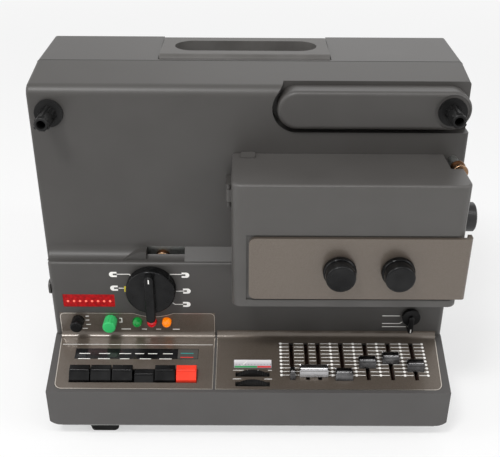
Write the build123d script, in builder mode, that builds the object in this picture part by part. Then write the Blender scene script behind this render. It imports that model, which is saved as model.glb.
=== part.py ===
from build123d import *
import math
import os

# Sound film projector. X runs to the right, Y to the back and Z up.
# The origin is on the table, below the middle of the casing.

os.makedirs("parts", exist_ok=True)

# Casing sizes
body_width = 390.0
base_width = 384.0
console_front_width = 378.0
casing_wall = 3.0
seam_y = 29.0
rear_y = 104.0
face_y = -22.0
control_y = -37.0
console_front_y = -105.0
foot_height = 13.0
pan_step = 3.6
pan_thickness = 1.5
pan_rim = 8.0
console_edge_z = 56.7
fold_z = 72.7
shelf_z = 156.0
face_top_z = 323.0
seam_top_z = 332.4
rear_top_z = 335.0
base_corner_radius = 13.0
top_edge_radius = 10.0
rear_edge_radius = 7.0
side_edge_radius = 3.0
control_edge_radius = 5.0
cove_radius = 11.0
side_pad = (12.0, 14.0, 2.0)
side_pad_z = 125.0
running_gap = 0.05
part_gap = 0.4
screw_shank = 1.7
screw_length = 10.0
screw_head_radius = 3.6
screw_head = 2.2
boss_radius = 4.5
boss_front = [(-34.5, -80.0), (30.4, -80.0)]
boss_rear_inset = (27.0, 18.0)

# Feet
foot_size = (31.0, 22.0)
foot_taper = 5.0
foot_corner = 4.0
foot_places = [(-140.0, -86.0), (-140.0, 84.0), (140.0, 84.0)]
levelling_place = (140.0, -64.0)
levelling_radius = 13.0
levelling_pad = 7.0
stem_radius = 4.0
nut_radius = 8.0
nut_height = 8.0

# Console panels
panel_thickness = 1.2
panel_proud = 0.2
panel_gap = 0.15
panel_bend_radius = 6.0
panel_inset = (6.0, 6.2)
panel_seam_x = (-33.4, -31.4)
panel_length = 66.4
left_panel_top_z = 99.0
right_panel_top_z = 78.5
panel_corner_radius = 7.0
panel_taper = 4.0
scallop_radius = 33.8

# Slide controls, placed across and up the console slope
slot_width = 3.8
slot_top = -9.8
slot_bottom = -55.2
cap_height = 7.5
cap_depth = 12.5
cap_crown = 7.0
cap_dip = 0.9
cap_width = 16.4
mix_cap_width = 27.0
trim_cap_width = 5.0
stem_width = 2.6
stem_depth = 4.0
stem_length = 12.0
trim_x = 41.8
mix_x = (56.3, 67.8)
manual_x = 90.4
tone_x = 114.0
balance_x = 137.0
volume_x = 159.7
trim_set = -49.4
mix_set = -46.0
manual_set = -50.0
tone_set = -35.4
balance_set = -30.4
volume_set = -39.4
pot_width = 9.0
pot_height = 16.0
pot_slit = 3.4

# Console keys
key_names = ["key_1", "key_2", "key_3", "key_4", "key_5", "record_key"]
key_pitch = 20.2
key_first_x = -159.8
key_gap = 1.1
key_back = -44.4
key_front = -58.0
key_ridge = -50.7
key_rise = 8.5
key_lip = 2.6
key_skirt = 8.0
key_travel = 6.0
latched_key = "key_4"
key_stem = 5.0
key_stem_length = 11.0
key_edge_radius = 0.8
key_bank_height = 6.5

# Thumb wheels, meter and indicator strip
wheel_names = ["level_wheel", "track_wheel"]
wheel_x = 3.8
wheel_radius = 20.0
wheel_rise = 4.6
wheel_width = 4.4
wheel_slot = (32.5, 5.6)
wheel_rows = (-48.9, -60.2)
wheel_axle_radius = 1.5
wheel_ear = (7.0, 2.0)
wheel_ear_gap = 0.3
wheel_groove = 0.7
wheel_grooves = 48
meter_x = 4.0
meter_row = -36.4
meter_window = (36.8, 10.4)
meter_depth = 13.0
strip_x = -108.9
strip_row = -24.5
strip_size = (120.0, 12.8)
window_flange = 2.5
board_depth = 22.0
board_thickness = 1.6
board_span = (-172.0, 174.0)
board_rows = (-66.0, -5.0)
board_posts = [(-30.0, -8.0), (-165.0, -12.0), (168.0, -8.0), (168.0, -60.0)]
post_radius = 2.5

# Control face
mode_x = -94.0
mode_z = 129.0
mode_radius = 23.5
mode_disc = 11.0
mode_bar_rise = 7.5
mode_bar_width = 9.0
mode_bar_up = 22.0
mode_bar_down = 30.0
fade_x = -168.0
green_x = -136.0
small_knob_z = 90.5
fade_radius = 6.0
green_radius = 6.4
small_knob_length = 14.0
button_names = ["green_button", "red_button", "amber_button"]
button_x = (-110.0, -95.6, -81.0)
button_z = 88.8
button_radius = 4.7
button_length = 6.5
button_travel = 1.5
display_x = -155.8
display_z = 113.0
display_size = (50.4, 14.6)
display_recess = 0.6
speed_x = 159.3
speed_z = 97.0
speed_radius = 8.8
speed_reach = 14.5
speed_bar_width = 5.4
speed_thickness = 4.0
shaft_radius = 3.0
knob_gap = 0.5
control_board_right = -28.0
control_board_inset = 2.0
control_board_rows = (79.0, 144.0)
control_board_gap = 10.0
switch_radius = 12.0
pot_radius = 7.0

# Lens cover
cover_left = -15.5
cover_right = 186.0
cover_bottom = 143.0
cover_top = 262.5
cover_front_y = -90.0
cover_wall = 2.5
cover_corner_radius = 9.0
cover_edge_radius = 2.4
cover_gap = 0.4
lip_span = (-8.0, 5.0)
lip_depth = 11.5
lip_rise = 1.6
roller_room = 2.5
hinge_x = -18.6
hinge_y = -39.5
hinge_z = (220.5, 238.3)
hinge_lug = 4.5
hinge_pin_radius = 1.5
hinge_radius = 2.6
focus_left = -0.4
focus_right = 191.6
focus_low = 152.3
focus_high = 213.4
focus_thickness = 3.5
focus_recess = 1.5
focus_groove = 2.2
focus_corner_radius = 6.0
focus_wrap = 9.0
framer_x = 78.5
focus_x = 129.3
focus_knob_z = 182.3
flange_radius = 14.6
flange_thickness = 2.5
grip_radius = 13.0
grip_length = 13.0
collar_radius = 6.0
collar_length = 3.0
knob_edge_radius = 1.5
grip_grooves = 24

# Spool arm and spindles
arm_front_y = -28.0
arm_thickness = 19.0
arm_radius = 17.6
arm_pivot_x = 41.5
arm_z = 304.6
arm_reach = 134.7
arm_gap = 4.4
arm_wall = 2.5
arm_edge_radius = 4.0
arm_rise = 55.0
recess_y = -8.0
pivot_radius = 8.0
pivot_length = 12.0
pivot_boss = 4.0
ring_length = 2.0
takeup_x = -176.2
takeup_z = 300.0
spindle_tip_y = -52.6
spindle_flange = 12.5
spindle_flange_thickness = 2.8
spindle_barrel = 6.1
spindle_lobe = 1.5
spindle_bore = 3.9
spindle_bore_depth = 14.0
spindle_axle = 3.0
spindle_ring = 15.4
ring_depth = 1.0

# Carrying handle
handle_left = -84.0
handle_right = 74.0
handle_pivot_y = 40.0
handle_rear_y = 98.5
handle_half = 6.0
handle_proud = 1.0
handle_edge_radius = 2.0
grip_span = 135.0
grip_width = 35.0
grip_centre_x = -4.1
grip_centre_y = 67.3
handle_pin_radius = 2.0
handle_gap = 1.0

# Mechanism behind the lens cover
plate_gap = 2.0
plate_thickness = 3.0
plate_span = (-112.0, 189.5)
plate_rows = (92.0, 270.0)
pad_radius = 5.0
pad_places = [(-100.0, 200.0), (-60.0, 262.0), (60.0, 262.0), (184.0, 165.0), (184.0, 235.0)]
window_span = (2.0, 176.0)
window_rows = (160.0, 254.0)
axis_y = -60.0
axis_z = 219.0
lens_radius = 11.0
lens_ring_radius = 13.0
lens_back_gap = 12.0
lens_tip_x = 198.0
lens_ring_length = 11.0
lens_glass_inset = 2.0
lens_gap = 2.5
holder_span = (124.0, 166.0)
holder_wall = 4.0
holder_foot = 12.0
gate_clearance = 2.0
gate_thickness = 3.0
gate_rows = (186.0, 236.0)
gate_half_width = 18.0
film_gap = 1.0
aperture = (6.0, 5.0)
shutter_x = 90.0
shutter_y = -52.0
shutter_z = 191.0
shutter_radius = 33.0
shutter_thickness = 1.2
shutter_axle = 2.0
shutter_opening = 80.0
bearing_span = (93.0, 102.0)
bearing_half = 7.0
bearing_front_y = -40.0
lamp_mouth_x = 78.0
reflector_radius = 24.0
reflector_neck = 8.0
reflector_depth = 30.0
reflector_wall = 1.5
bulb_radius = 6.0
bulb_length = 22.0
lamp_socket = (18.0, 18.0, 14.0)
lamp_bracket = (12.0, 12.0)
sprocket_x = 118.0
sprocket_z = 246.0
sprocket_radius = 6.5
sprocket_length = 18.0
sprocket_front_y = -72.0
sprocket_rim = 7.6
sprocket_axle = 2.5
sprocket_teeth = 12
capstan_x = 52.0
capstan_z = 174.0
capstan_radius = 2.5
capstan_front_y = -66.0
sound_head_span = (22.0, 44.0)
sound_head_rows = (165.0, 183.0)
exciter_length = 14.0
exciter_radius = 7.0
flywheel_radius = 32.0
flywheel_thickness = 10.0
drive_pulley = 14.0
winding_pulley = 9.0
pulley_width = 4.5
pulley_rim = 1.8
axial_gap = 0.5
belt_thickness = 1.2
belt_width = 3.0
belt_gap = 0.3
motor_x = 132.0
motor_z = 122.0
motor_radius = 27.0
motor_length = 52.0
motor_pulley = 6.0
motor_standoff = 26.0
motor_post_radius = 3.5
motor_post_circle = 20.0
motor_post_angles = (30.0, -60.0, -130.0)
motor_axle = 2.5
fan_radius = 24.0
fan_hub = 8.0
fan_depth = 12.0
fan_gap = 6.0
fan_blades = 8
blade_thickness = 1.2
spindle_pulley = 14.0
roller_radius = 6.9
roller_core = 5.2
roller_rim = 1.6
stud_radius = 2.0
stud_head = 1.5
inlet_x = 183.5
inlet_z = 257.5
inlet_front_y = -52.0
inlet_width = 12.0
outlet_x = -83.5
outlet_z = 153.0
outlet_front_y = -24.6
guide_x = -65.5
guide_z = 149.0
slot_span = (-98.0, -61.5)
slot_front_y = -25.4
slot_top_z = 165.6
ridge_span = (-121.0, -98.0)
ridge_rise = 9.0

# Power, sound and sockets
transformer_size = (66.0, 40.0, 56.0)
transformer_place = (-120.0, 50.0)
winding_bulge = 7.0
speaker_radius = 34.0
speaker_y = 64.0
speaker_z = 150.0
speaker_depth = 22.0
grille_count = 9
grille_pitch = 7.0
grille_slot = (54.0, 3.0)
vent_slot = (60.0, 3.2)
vent_pitch = 9.0
vent_count = 12
vent_columns = (40.0, 132.0)
vent_z = 205.0
socket_x = -100.0
socket_z = 112.0
socket_size = (98.0, 36.0)
socket_corner = 3.0
inlet_pocket = (24.0, 16.0)
inlet_pocket_depth = 14.0
inlet_body = (30.0, 22.0)
din_radius = 7.5
din_places = (6.0, 27.0)
jack_radius = 3.2
jack_place = 42.0

# Values worked out from the sizes above
half_body = body_width / 2
half_base = base_width / 2
left_panel_span = (panel_inset[0] - half_base, panel_seam_x[0])
right_panel_span = (panel_seam_x[1], half_base - panel_inset[1])
boss_rear = [
    (side * (half_base - boss_rear_inset[0]), rear_y - boss_rear_inset[1]) for side in (-1, 1)
]
control_board_span = (casing_wall + control_board_inset - half_base, control_board_right)
gate_x = bearing_span[1] + gate_clearance
lens_back_x = gate_x + lens_back_gap
tray_z = foot_height + pan_step
pan_top_z = foot_height + pan_thickness
pan_half = half_base - base_corner_radius
tray_depth = rear_y - console_front_y
tray_half_inside = half_base - casing_wall
inner_rear_y = rear_y - casing_wall
slope = math.atan2(fold_z - console_edge_z, control_y - console_front_y)
inner_face_y = face_y + casing_wall
inner_control_y = control_y + casing_wall
recess_back_y = recess_y + casing_wall
pocket_depth = panel_thickness - panel_proud
plate_front_y = inner_face_y + plate_gap
plate_back_y = plate_front_y + plate_thickness
control_board_y = inner_control_y + control_board_gap
arm_back_y = arm_front_y + arm_thickness
supply_x = arm_pivot_x + arm_reach
recess_radius = arm_radius + arm_gap
handle_pivot_z = rear_top_z + handle_proud - handle_half
cover_back_y = face_y - cover_gap
cover_low_back_y = control_y - cover_gap
cover_inner_y = cover_front_y + cover_wall
focus_front_y = cover_front_y + focus_recess - focus_thickness
slide_places = [trim_x, *mix_x, manual_x, tone_x, balance_x, volume_x]
slot_middle = (slot_top + slot_bottom) / 2
slot_length = slot_top - slot_bottom
key_count = len(key_names)
keys_middle_x = key_first_x + key_pitch * (key_count - 1) / 2
keys_width = key_pitch * key_count
keys_middle = (key_back + key_front) / 2
keys_depth = key_back - key_front
wheel_depth = wheel_radius - wheel_rise
flywheel_front_y = plate_back_y + axial_gap
drive_pulley_y = flywheel_front_y + flywheel_thickness
winding_pulley_y = drive_pulley_y + pulley_width
motor_face_y = plate_back_y + motor_standoff
motor_rear_y = motor_face_y + motor_length
deck = Plane(
    origin=(0, control_y, fold_z),
    x_dir=(1, 0, 0),
    z_dir=(0, -math.sin(slope), math.cos(slope)),
)


# Sketch planes that face the front, the right side and up the console slope
def front_plane(y):
    return Plane(origin=(0, y, 0), x_dir=(1, 0, 0), z_dir=(0, -1, 0))


def side_plane(x):
    return Plane(origin=(x, 0, 0), x_dir=(0, 1, 0), z_dir=(1, 0, 0))


def deck_side(x):
    return Plane(origin=(x, control_y, fold_z), x_dir=deck.y_dir, z_dir=(1, 0, 0))


# A block between three pairs of limits
def block(x, y, z):
    with BuildPart() as form:
        with Locations((sum(x) / 2, sum(y) / 2, sum(z) / 2)):
            Box(abs(x[1] - x[0]), abs(y[1] - y[0]), abs(z[1] - z[0]))
    return form.part


# Round bars along Y, along X and along Z
def bar_y(x, z, radius, y):
    with BuildPart() as bar:
        with BuildSketch(front_plane(max(y))):
            with Locations((x, z)):
                Circle(radius)
        extrude(amount=abs(y[1] - y[0]))
    return bar.part


def bar_x(y, z, radius, x):
    with BuildPart() as bar:
        with BuildSketch(side_plane(min(x))):
            with Locations((y, z)):
                Circle(radius)
        extrude(amount=abs(x[1] - x[0]))
    return bar.part


def bar_z(x, y, radius, z):
    with BuildPart() as bar:
        with BuildSketch(Plane.XY.offset(min(z))):
            with Locations((x, y)):
                Circle(radius)
        extrude(amount=abs(z[1] - z[0]))
    return bar.part


# A block on the console slope: across, up the slope and out of the deck
def deck_block(x, row, out):
    with BuildPart() as form:
        with BuildSketch(deck.offset(min(out))):
            with Locations((sum(x) / 2, sum(row) / 2)):
                Rectangle(abs(x[1] - x[0]), abs(row[1] - row[0]))
        extrude(amount=abs(out[1] - out[0]))
    return form.part


def deck_bar(x, row, radius, out):
    with BuildPart() as bar:
        with BuildSketch(deck.offset(min(out))):
            with Locations((x, row)):
                Circle(radius)
        extrude(amount=abs(out[1] - out[0]))
    return bar.part


# Base tray: the console box, drawn as a solid with its walls moved in
def tray_form(inset):
    with BuildPart() as form:
        with BuildSketch(side_plane(0)):
            with BuildLine():
                Polyline(
                    (console_front_y, tray_z),
                    (console_front_y, console_edge_z),
                    (control_y, fold_z),
                    (rear_y, fold_z),
                    (rear_y, tray_z),
                    close=True,
                )
            make_face()
            if inset:
                offset(amount=-inset, kind=Kind.INTERSECTION)
        extrude(amount=half_base, both=True)
        with BuildSketch(Plane.XY):
            with BuildLine():
                Polyline(
                    (-console_front_width / 2, console_front_y),
                    (console_front_width / 2, console_front_y),
                    (half_base, control_y),
                    (half_base, rear_y),
                    (-half_base, rear_y),
                    (-half_base, control_y),
                    close=True,
                )
            make_face()
            if inset:
                offset(amount=-inset, kind=Kind.INTERSECTION)
        extrude(amount=2 * fold_z, mode=Mode.INTERSECT)
        with BuildSketch(front_plane(rear_y)):
            with Locations((0, tray_z + fold_z)):
                RectangleRounded(base_width, 2 * fold_z, base_corner_radius)
            if inset:
                offset(amount=-inset)
        extrude(amount=tray_depth, mode=Mode.INTERSECT)
    return form.part


# The outline of a console panel on the slope, grown a little for its pocket
def panel_outline(span, taper_left, taper_right, grow):
    left, right = span[0] - grow, span[1] + grow
    low = -panel_length - grow
    high = 2 * panel_bend_radius
    with BuildSketch(deck) as outline:
        with BuildLine():
            Polyline(
                (left, high),
                (left, 0),
                (left + taper_left, low),
                (right - taper_right, low),
                (right, 0),
                (right, high),
                close=True,
            )
        make_face()
        low_corners = outline.vertices().group_by(Axis.Y)[0].sort_by(Axis.X)
        outer_corner = low_corners[0] if taper_left else low_corners[-1]
        fillet(outer_corner, radius=panel_corner_radius)
    return outline.sketch


left_outline = (left_panel_span, panel_taper, 0)
right_outline = (right_panel_span, 0, panel_taper)


# Everything that shows through the console, as one flat sketch
def console_cuts():
    with BuildSketch(deck) as cuts:
        with Locations(*[(x, slot_middle) for x in slide_places]):
            Rectangle(slot_width, slot_length)
        with Locations((keys_middle_x, keys_middle)):
            Rectangle(keys_width, keys_depth + 2 * key_gap)
        with Locations(*[(wheel_x, row) for row in wheel_rows]):
            Rectangle(*wheel_slot)
        with Locations((meter_x, meter_row)):
            Rectangle(*meter_window)
        with Locations((strip_x, strip_row)):
            Rectangle(*strip_size)
    return cuts.sketch


with BuildPart() as base_tray:
    add(tray_form(0))
    add(tray_form(casing_wall), mode=Mode.SUBTRACT)
    add(
        block(
            (-pan_half, pan_half),
            (console_front_y + casing_wall, inner_rear_y),
            (tray_z - 1, tray_z + 2 * casing_wall),
        ),
        mode=Mode.SUBTRACT,
    )
    add(
        block(
            (-tray_half_inside, tray_half_inside),
            (inner_control_y, inner_rear_y),
            (fold_z - 2 * casing_wall, fold_z + 1),
        ),
        mode=Mode.SUBTRACT,
    )
    for x, y in boss_front:
        deck_low_z = fold_z + (y - boss_radius - control_y) * math.tan(slope)
        add(bar_z(x, y, boss_radius, (pan_top_z, deck_low_z)))
    for x, y in boss_rear:
        add(
            block(
                (x - boss_radius, x + boss_radius),
                (y, inner_rear_y),
                (foot_height + pan_rim + part_gap, fold_z - 2 * casing_wall),
            )
        )
        add(bar_z(x, y, boss_radius, (pan_top_z, fold_z - 2 * casing_wall)))
    for x, y in boss_front + boss_rear:
        add(bar_z(x, y, screw_shank, (pan_top_z, foot_height + screw_length)), mode=Mode.SUBTRACT)
    extrude(console_cuts(), amount=-2 * casing_wall, dir=deck.z_dir, mode=Mode.SUBTRACT)
    for outline in (left_outline, right_outline):
        pocket = panel_outline(*outline, panel_gap)
        extrude(pocket, amount=-pocket_depth, dir=deck.z_dir, mode=Mode.SUBTRACT)

# Pressed bottom pan with an upturned rim and a welded nut for the levelling foot
pan_inside = part_gap + pan_thickness

with BuildPart() as bottom_pan:
    add(
        block(
            (-pan_half + part_gap, pan_half - part_gap),
            (console_front_y + casing_wall + part_gap, inner_rear_y - part_gap),
            (foot_height, foot_height + pan_rim),
        )
    )
    add(
        block(
            (-pan_half + pan_inside, pan_half - pan_inside),
            (console_front_y + casing_wall + pan_inside, inner_rear_y - pan_inside),
            (pan_top_z, foot_height + pan_rim + 1),
        ),
        mode=Mode.SUBTRACT,
    )
    add(bar_z(*levelling_place, nut_radius, (pan_top_z, pan_top_z + nut_height)))
    add(
        bar_z(
            *levelling_place,
            stem_radius + running_gap,
            (foot_height - 1, pan_top_z + nut_height + 1),
        ),
        mode=Mode.SUBTRACT,
    )
    for x, y in boss_front + boss_rear:
        add(
            bar_z(x, y, screw_shank + running_gap, (foot_height - 1, pan_top_z + 1)),
            mode=Mode.SUBTRACT,
        )

# Three rubber feet that taper to the table, and the screw foot at the front right
with BuildPart() as fixed_feet:
    for x, y in foot_places:
        with BuildSketch(Plane.XY):
            with Locations((x, y)):
                RectangleRounded(foot_size[0] - foot_taper, foot_size[1] - foot_taper, foot_corner)
        with BuildSketch(Plane.XY.offset(foot_height)):
            with Locations((x, y)):
                RectangleRounded(*foot_size, foot_corner)
        loft()

with BuildPart() as levelling_foot:
    add(bar_z(*levelling_place, levelling_radius, (0, levelling_pad)))
    chamfer(levelling_foot.edges().group_by(Axis.Z)[-1], length=foot_taper / 2)
    add(bar_z(*levelling_place, stem_radius, (levelling_pad, pan_top_z + 2 * nut_height)))


# Bent console panel: a sheet that lies on the slope and turns up the control face
def bent_panel(span, top_z, outline):
    low = deck.from_local_coords(Vector(0, -panel_length - 1, panel_proud))
    fold = deck.from_local_coords(Vector(0, 0, panel_proud))
    front = control_y - panel_proud
    fold_height = fold.Z + (front - fold.Y) * math.tan(slope)
    with BuildPart() as sheet:
        with BuildSketch(side_plane(span[0])):
            with BuildLine():
                FilletPolyline(
                    (low.Y, low.Z),
                    (front, fold_height),
                    (front, top_z),
                    radius=panel_bend_radius,
                )
                offset(amount=panel_thickness, side=Side.RIGHT)
            make_face()
        extrude(amount=span[1] - span[0])
        shape = panel_outline(*outline, 0)
        extrude(shape, amount=fold_z, dir=deck.z_dir, both=True, mode=Mode.INTERSECT)
    return sheet.part


with BuildPart() as left_panel:
    add(bent_panel(left_panel_span, left_panel_top_z, left_outline))
    cuts = console_cuts()
    extrude(cuts, amount=2 * panel_thickness, dir=deck.z_dir, both=True, mode=Mode.SUBTRACT)
    with BuildSketch(front_plane(control_y)):
        with Locations((mode_x, mode_z)):
            Circle(scallop_radius)
        with Locations(*[(x, button_z) for x in button_x]):
            Circle(button_radius + part_gap)
        with Locations((fade_x, small_knob_z), (green_x, small_knob_z)):
            Circle(shaft_radius + part_gap)
    extrude(amount=2 * panel_thickness, both=True, mode=Mode.SUBTRACT)

with BuildPart() as right_panel:
    add(bent_panel(right_panel_span, right_panel_top_z, right_outline))
    cuts = console_cuts()
    extrude(cuts, amount=2 * panel_thickness, dir=deck.z_dir, both=True, mode=Mode.SUBTRACT)


# Main body as a solid with its walls moved in; the casing and the cover share it
def body_form(inset):
    with BuildPart() as form:
        with BuildSketch(side_plane(0)) as side:
            with BuildLine():
                Polyline(
                    (face_y, fold_z),
                    (face_y, face_top_z),
                    (seam_y, seam_top_z),
                    (rear_y, rear_top_z),
                    (rear_y, fold_z),
                    close=True,
                )
            make_face()
            corners = side.vertices()
            front_top = corners.sort_by_distance((face_y, face_top_z, 0))[0]
            rear_top = corners.sort_by_distance((rear_y, rear_top_z, 0))[0]
            fillet(front_top, radius=top_edge_radius)
            fillet(rear_top, radius=rear_edge_radius)
            if inset:
                offset(amount=-inset, kind=Kind.INTERSECTION)
        extrude(amount=half_body - inset, both=True)
        if not inset:
            sides = form.edges().filter_by(lambda edge: abs(edge.center().X) > half_body - 1)
            sides = sides.filter_by(lambda edge: edge.center().Z > fold_z + 1)
            fillet(sides, radius=side_edge_radius)
    return form.part


# The hollow that the folded spool arm lies in, open to the top, front and right
def arm_recess(grow, back_y):
    radius = recess_radius + grow
    side = math.radians(90 + arm_rise)
    touch_x = arm_pivot_x + radius * math.cos(side)
    touch_z = arm_z + radius * math.sin(side)
    high = rear_top_z + 2 * arm_radius
    high_x = touch_x + (high - touch_z) / math.tan(math.radians(arm_rise))
    with BuildPart() as form:
        with BuildSketch(front_plane(back_y)):
            with Locations((arm_pivot_x, arm_z)):
                Circle(radius)
            with BuildLine():
                Polyline(
                    (arm_pivot_x, arm_z - radius),
                    (half_body + 1, arm_z - radius),
                    (half_body + 1, high),
                    (high_x, high),
                    (touch_x, touch_z),
                    (arm_pivot_x, arm_z),
                    close=True,
                )
            make_face()
        extrude(amount=back_y - face_y + 1)
    return form.part


def handle_well(grow):
    return block(
        (handle_left - handle_gap - grow, handle_right + handle_gap + grow),
        (handle_pivot_y - handle_half - handle_gap - grow, rear_y + 1),
        (handle_pivot_z - handle_half - handle_gap - grow, rear_top_z + 1),
    )


# Strips along the foot of the side walls that stand on the tray
def side_feet(y):
    with BuildPart() as strips:
        for side in (-1, 1):
            add(
                block(
                    (side * tray_half_inside, side * (half_body - casing_wall)),
                    y,
                    (fold_z, fold_z + 2 * casing_wall),
                )
            )
    return strips.part


with BuildPart() as casing_cavity:
    add(body_form(casing_wall))
    add(
        block(
            (casing_wall - half_body, half_body - casing_wall),
            (inner_face_y, inner_rear_y),
            (fold_z - 1, fold_z + 2 * casing_wall),
        )
    )
    add(arm_recess(casing_wall, recess_back_y), mode=Mode.SUBTRACT)
    add(handle_well(casing_wall), mode=Mode.SUBTRACT)

with BuildPart() as control_box:
    add(block((-half_base, half_base), (control_y, face_y + casing_wall), (fold_z, shelf_z)))
    uprights = control_box.edges().filter_by(Axis.Z).group_by(Axis.Y)[0]
    fillet(uprights, radius=control_edge_radius)
    shelf_edge = control_box.edges().group_by(Axis.Z)[-1]
    fillet(shelf_edge.filter_by(lambda edge: edge.center().Y < face_y), radius=side_edge_radius)

with BuildPart() as front_casing:
    add(body_form(0))
    add(
        block((-half_body - 1, half_body + 1), (seam_y, rear_y + 1), (0, 2 * rear_top_z)),
        mode=Mode.SUBTRACT,
    )
    add(control_box.part)
    with BuildSketch(side_plane(-half_base)):
        with Locations(((control_y + face_y) / 2, side_pad_z)):
            RectangleRounded(side_pad[0], side_pad[1], control_edge_radius)
    extrude(amount=-side_pad[2])
    with BuildSketch(side_plane(-half_base)):
        with Locations((face_y - cove_radius / 2, shelf_z + cove_radius / 2)):
            Rectangle(cove_radius, cove_radius)
        with Locations((face_y - cove_radius, shelf_z + cove_radius)):
            Circle(cove_radius, mode=Mode.SUBTRACT)
    extrude(amount=half_base + slot_span[1])
    with BuildSketch(side_plane(slot_span[1])):
        with BuildLine():
            Polyline(
                (face_y, shelf_z),
                (face_y, slot_top_z),
                (control_y + casing_wall, shelf_z),
                close=True,
            )
        make_face()
    extrude(amount=cover_left - cover_gap - slot_span[1])
    with BuildSketch(front_plane(face_y)):
        with BuildLine():
            ridge_top = (ridge_span[1], shelf_z + ridge_rise)
            Spline((ridge_span[0], shelf_z), ridge_top, tangents=[(1, 0.3), (1, 0)])
            Polyline(ridge_top, (ridge_span[1], shelf_z), (ridge_span[0], shelf_z))
        make_face()
    extrude(amount=face_y - slot_front_y + 2 * casing_wall)
    add(casing_cavity.part, mode=Mode.SUBTRACT)
    add(
        block(
            (-tray_half_inside, tray_half_inside),
            (inner_control_y, inner_face_y + 1),
            (fold_z - 1, shelf_z - casing_wall),
        ),
        mode=Mode.SUBTRACT,
    )
    add(side_feet((inner_face_y, seam_y)))
    add(arm_recess(0, recess_y), mode=Mode.SUBTRACT)
    add(bar_y(arm_pivot_x, arm_z, pivot_radius + 2 * casing_wall, (recess_back_y, recess_back_y + pivot_boss)))
    add(
        bar_y(arm_pivot_x, arm_z, pivot_radius + running_gap, (recess_y - 1, recess_back_y + pivot_boss + 1)),
        mode=Mode.SUBTRACT,
    )
    # Bearing of the take-up spindle
    add(bar_y(takeup_x, takeup_z, spindle_axle + 2 * casing_wall, (inner_face_y, plate_back_y)))
    add(
        bar_y(takeup_x, takeup_z, spindle_axle + running_gap, (face_y - 1, plate_back_y + 1)),
        mode=Mode.SUBTRACT,
    )
    # Window to the film path, the film slot and the pads behind the face
    add(block(window_span, (face_y - 1, inner_face_y + 1), window_rows), mode=Mode.SUBTRACT)
    add(
        block(slot_span, (slot_front_y, inner_face_y + 1), (outlet_z - roller_radius - 1, slot_top_z)),
        mode=Mode.SUBTRACT,
    )
    add(
        bar_y(inlet_x, inlet_z, stud_radius + part_gap, (face_y - 1, inner_face_y + 1)),
        mode=Mode.SUBTRACT,
    )
    for x, z in pad_places:
        add(bar_y(x, z, pad_radius, (inner_face_y, plate_front_y)))
    for x, z in pad_places:
        add(bar_y(x, z, screw_shank, (inner_face_y - 1, plate_front_y + 1)), mode=Mode.SUBTRACT)
    # Hinge lugs of the lens cover
    for z in hinge_z:
        with BuildSketch(Plane.XY.offset(z - hinge_lug / 2)):
            with Locations((hinge_x, (hinge_y + face_y) / 2)):
                Rectangle(2 * hinge_radius, face_y - hinge_y)
            with Locations((hinge_x, hinge_y)):
                Circle(hinge_radius)
                Circle(hinge_pin_radius + running_gap, mode=Mode.SUBTRACT)
        extrude(amount=hinge_lug)
    # Control face openings
    with BuildSketch(front_plane(control_y)):
        with Locations((display_x, display_z)):
            Rectangle(*display_size)
        with Locations(*[(x, button_z) for x in button_x]):
            Circle(button_radius + part_gap)
        with Locations((fade_x, small_knob_z), (green_x, small_knob_z), (mode_x, mode_z)):
            Circle(shaft_radius + running_gap)
        with Locations((speed_x, speed_z)):
            Circle(shaft_radius + running_gap)
    extrude(amount=-2 * casing_wall, mode=Mode.SUBTRACT)
    # Shallow pockets that the upright parts of the console panels lie in
    with BuildSketch(front_plane(control_y)):
        for span, top in (
            (left_panel_span, left_panel_top_z),
            (right_panel_span, right_panel_top_z),
        ):
            with Locations(((span[0] + span[1]) / 2, (fold_z + top + panel_gap) / 2)):
                Rectangle(span[1] - span[0] + 2 * panel_gap, top + panel_gap - fold_z)
        with Locations((mode_x, mode_z)):
            Circle(scallop_radius - panel_gap, mode=Mode.SUBTRACT)
    extrude(amount=-pocket_depth, mode=Mode.SUBTRACT)

with BuildPart() as rear_cover:
    add(body_form(0))
    add(
        block(
            (-half_body - 1, half_body + 1),
            (face_y - 1, seam_y + part_gap),
            (0, 2 * rear_top_z),
        ),
        mode=Mode.SUBTRACT,
    )
    add(casing_cavity.part, mode=Mode.SUBTRACT)
    add(side_feet((seam_y + part_gap, inner_rear_y)))
    add(handle_well(0), mode=Mode.SUBTRACT)
    pin_reach = handle_gap + 2 * casing_wall
    add(
        bar_x(
            handle_pivot_y,
            handle_pivot_z,
            handle_pin_radius + running_gap,
            (handle_left - pin_reach, handle_right + pin_reach),
        ),
        mode=Mode.SUBTRACT,
    )
    with BuildSketch(front_plane(rear_y + 1)):
        with Locations((socket_x, socket_z)):
            RectangleRounded(*socket_size, socket_corner)
        for column in vent_columns:
            with Locations((column, vent_z)):
                with GridLocations(0, vent_pitch, 1, vent_count):
                    SlotOverall(*vent_slot)
    extrude(amount=2 * casing_wall, mode=Mode.SUBTRACT)
    with BuildSketch(side_plane(-half_body - 1)):
        with Locations((speaker_y, speaker_z)):
            with GridLocations(0, grille_pitch, 1, grille_count):
                SlotOverall(*grille_slot)
    extrude(amount=2 * casing_wall, mode=Mode.SUBTRACT)

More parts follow.
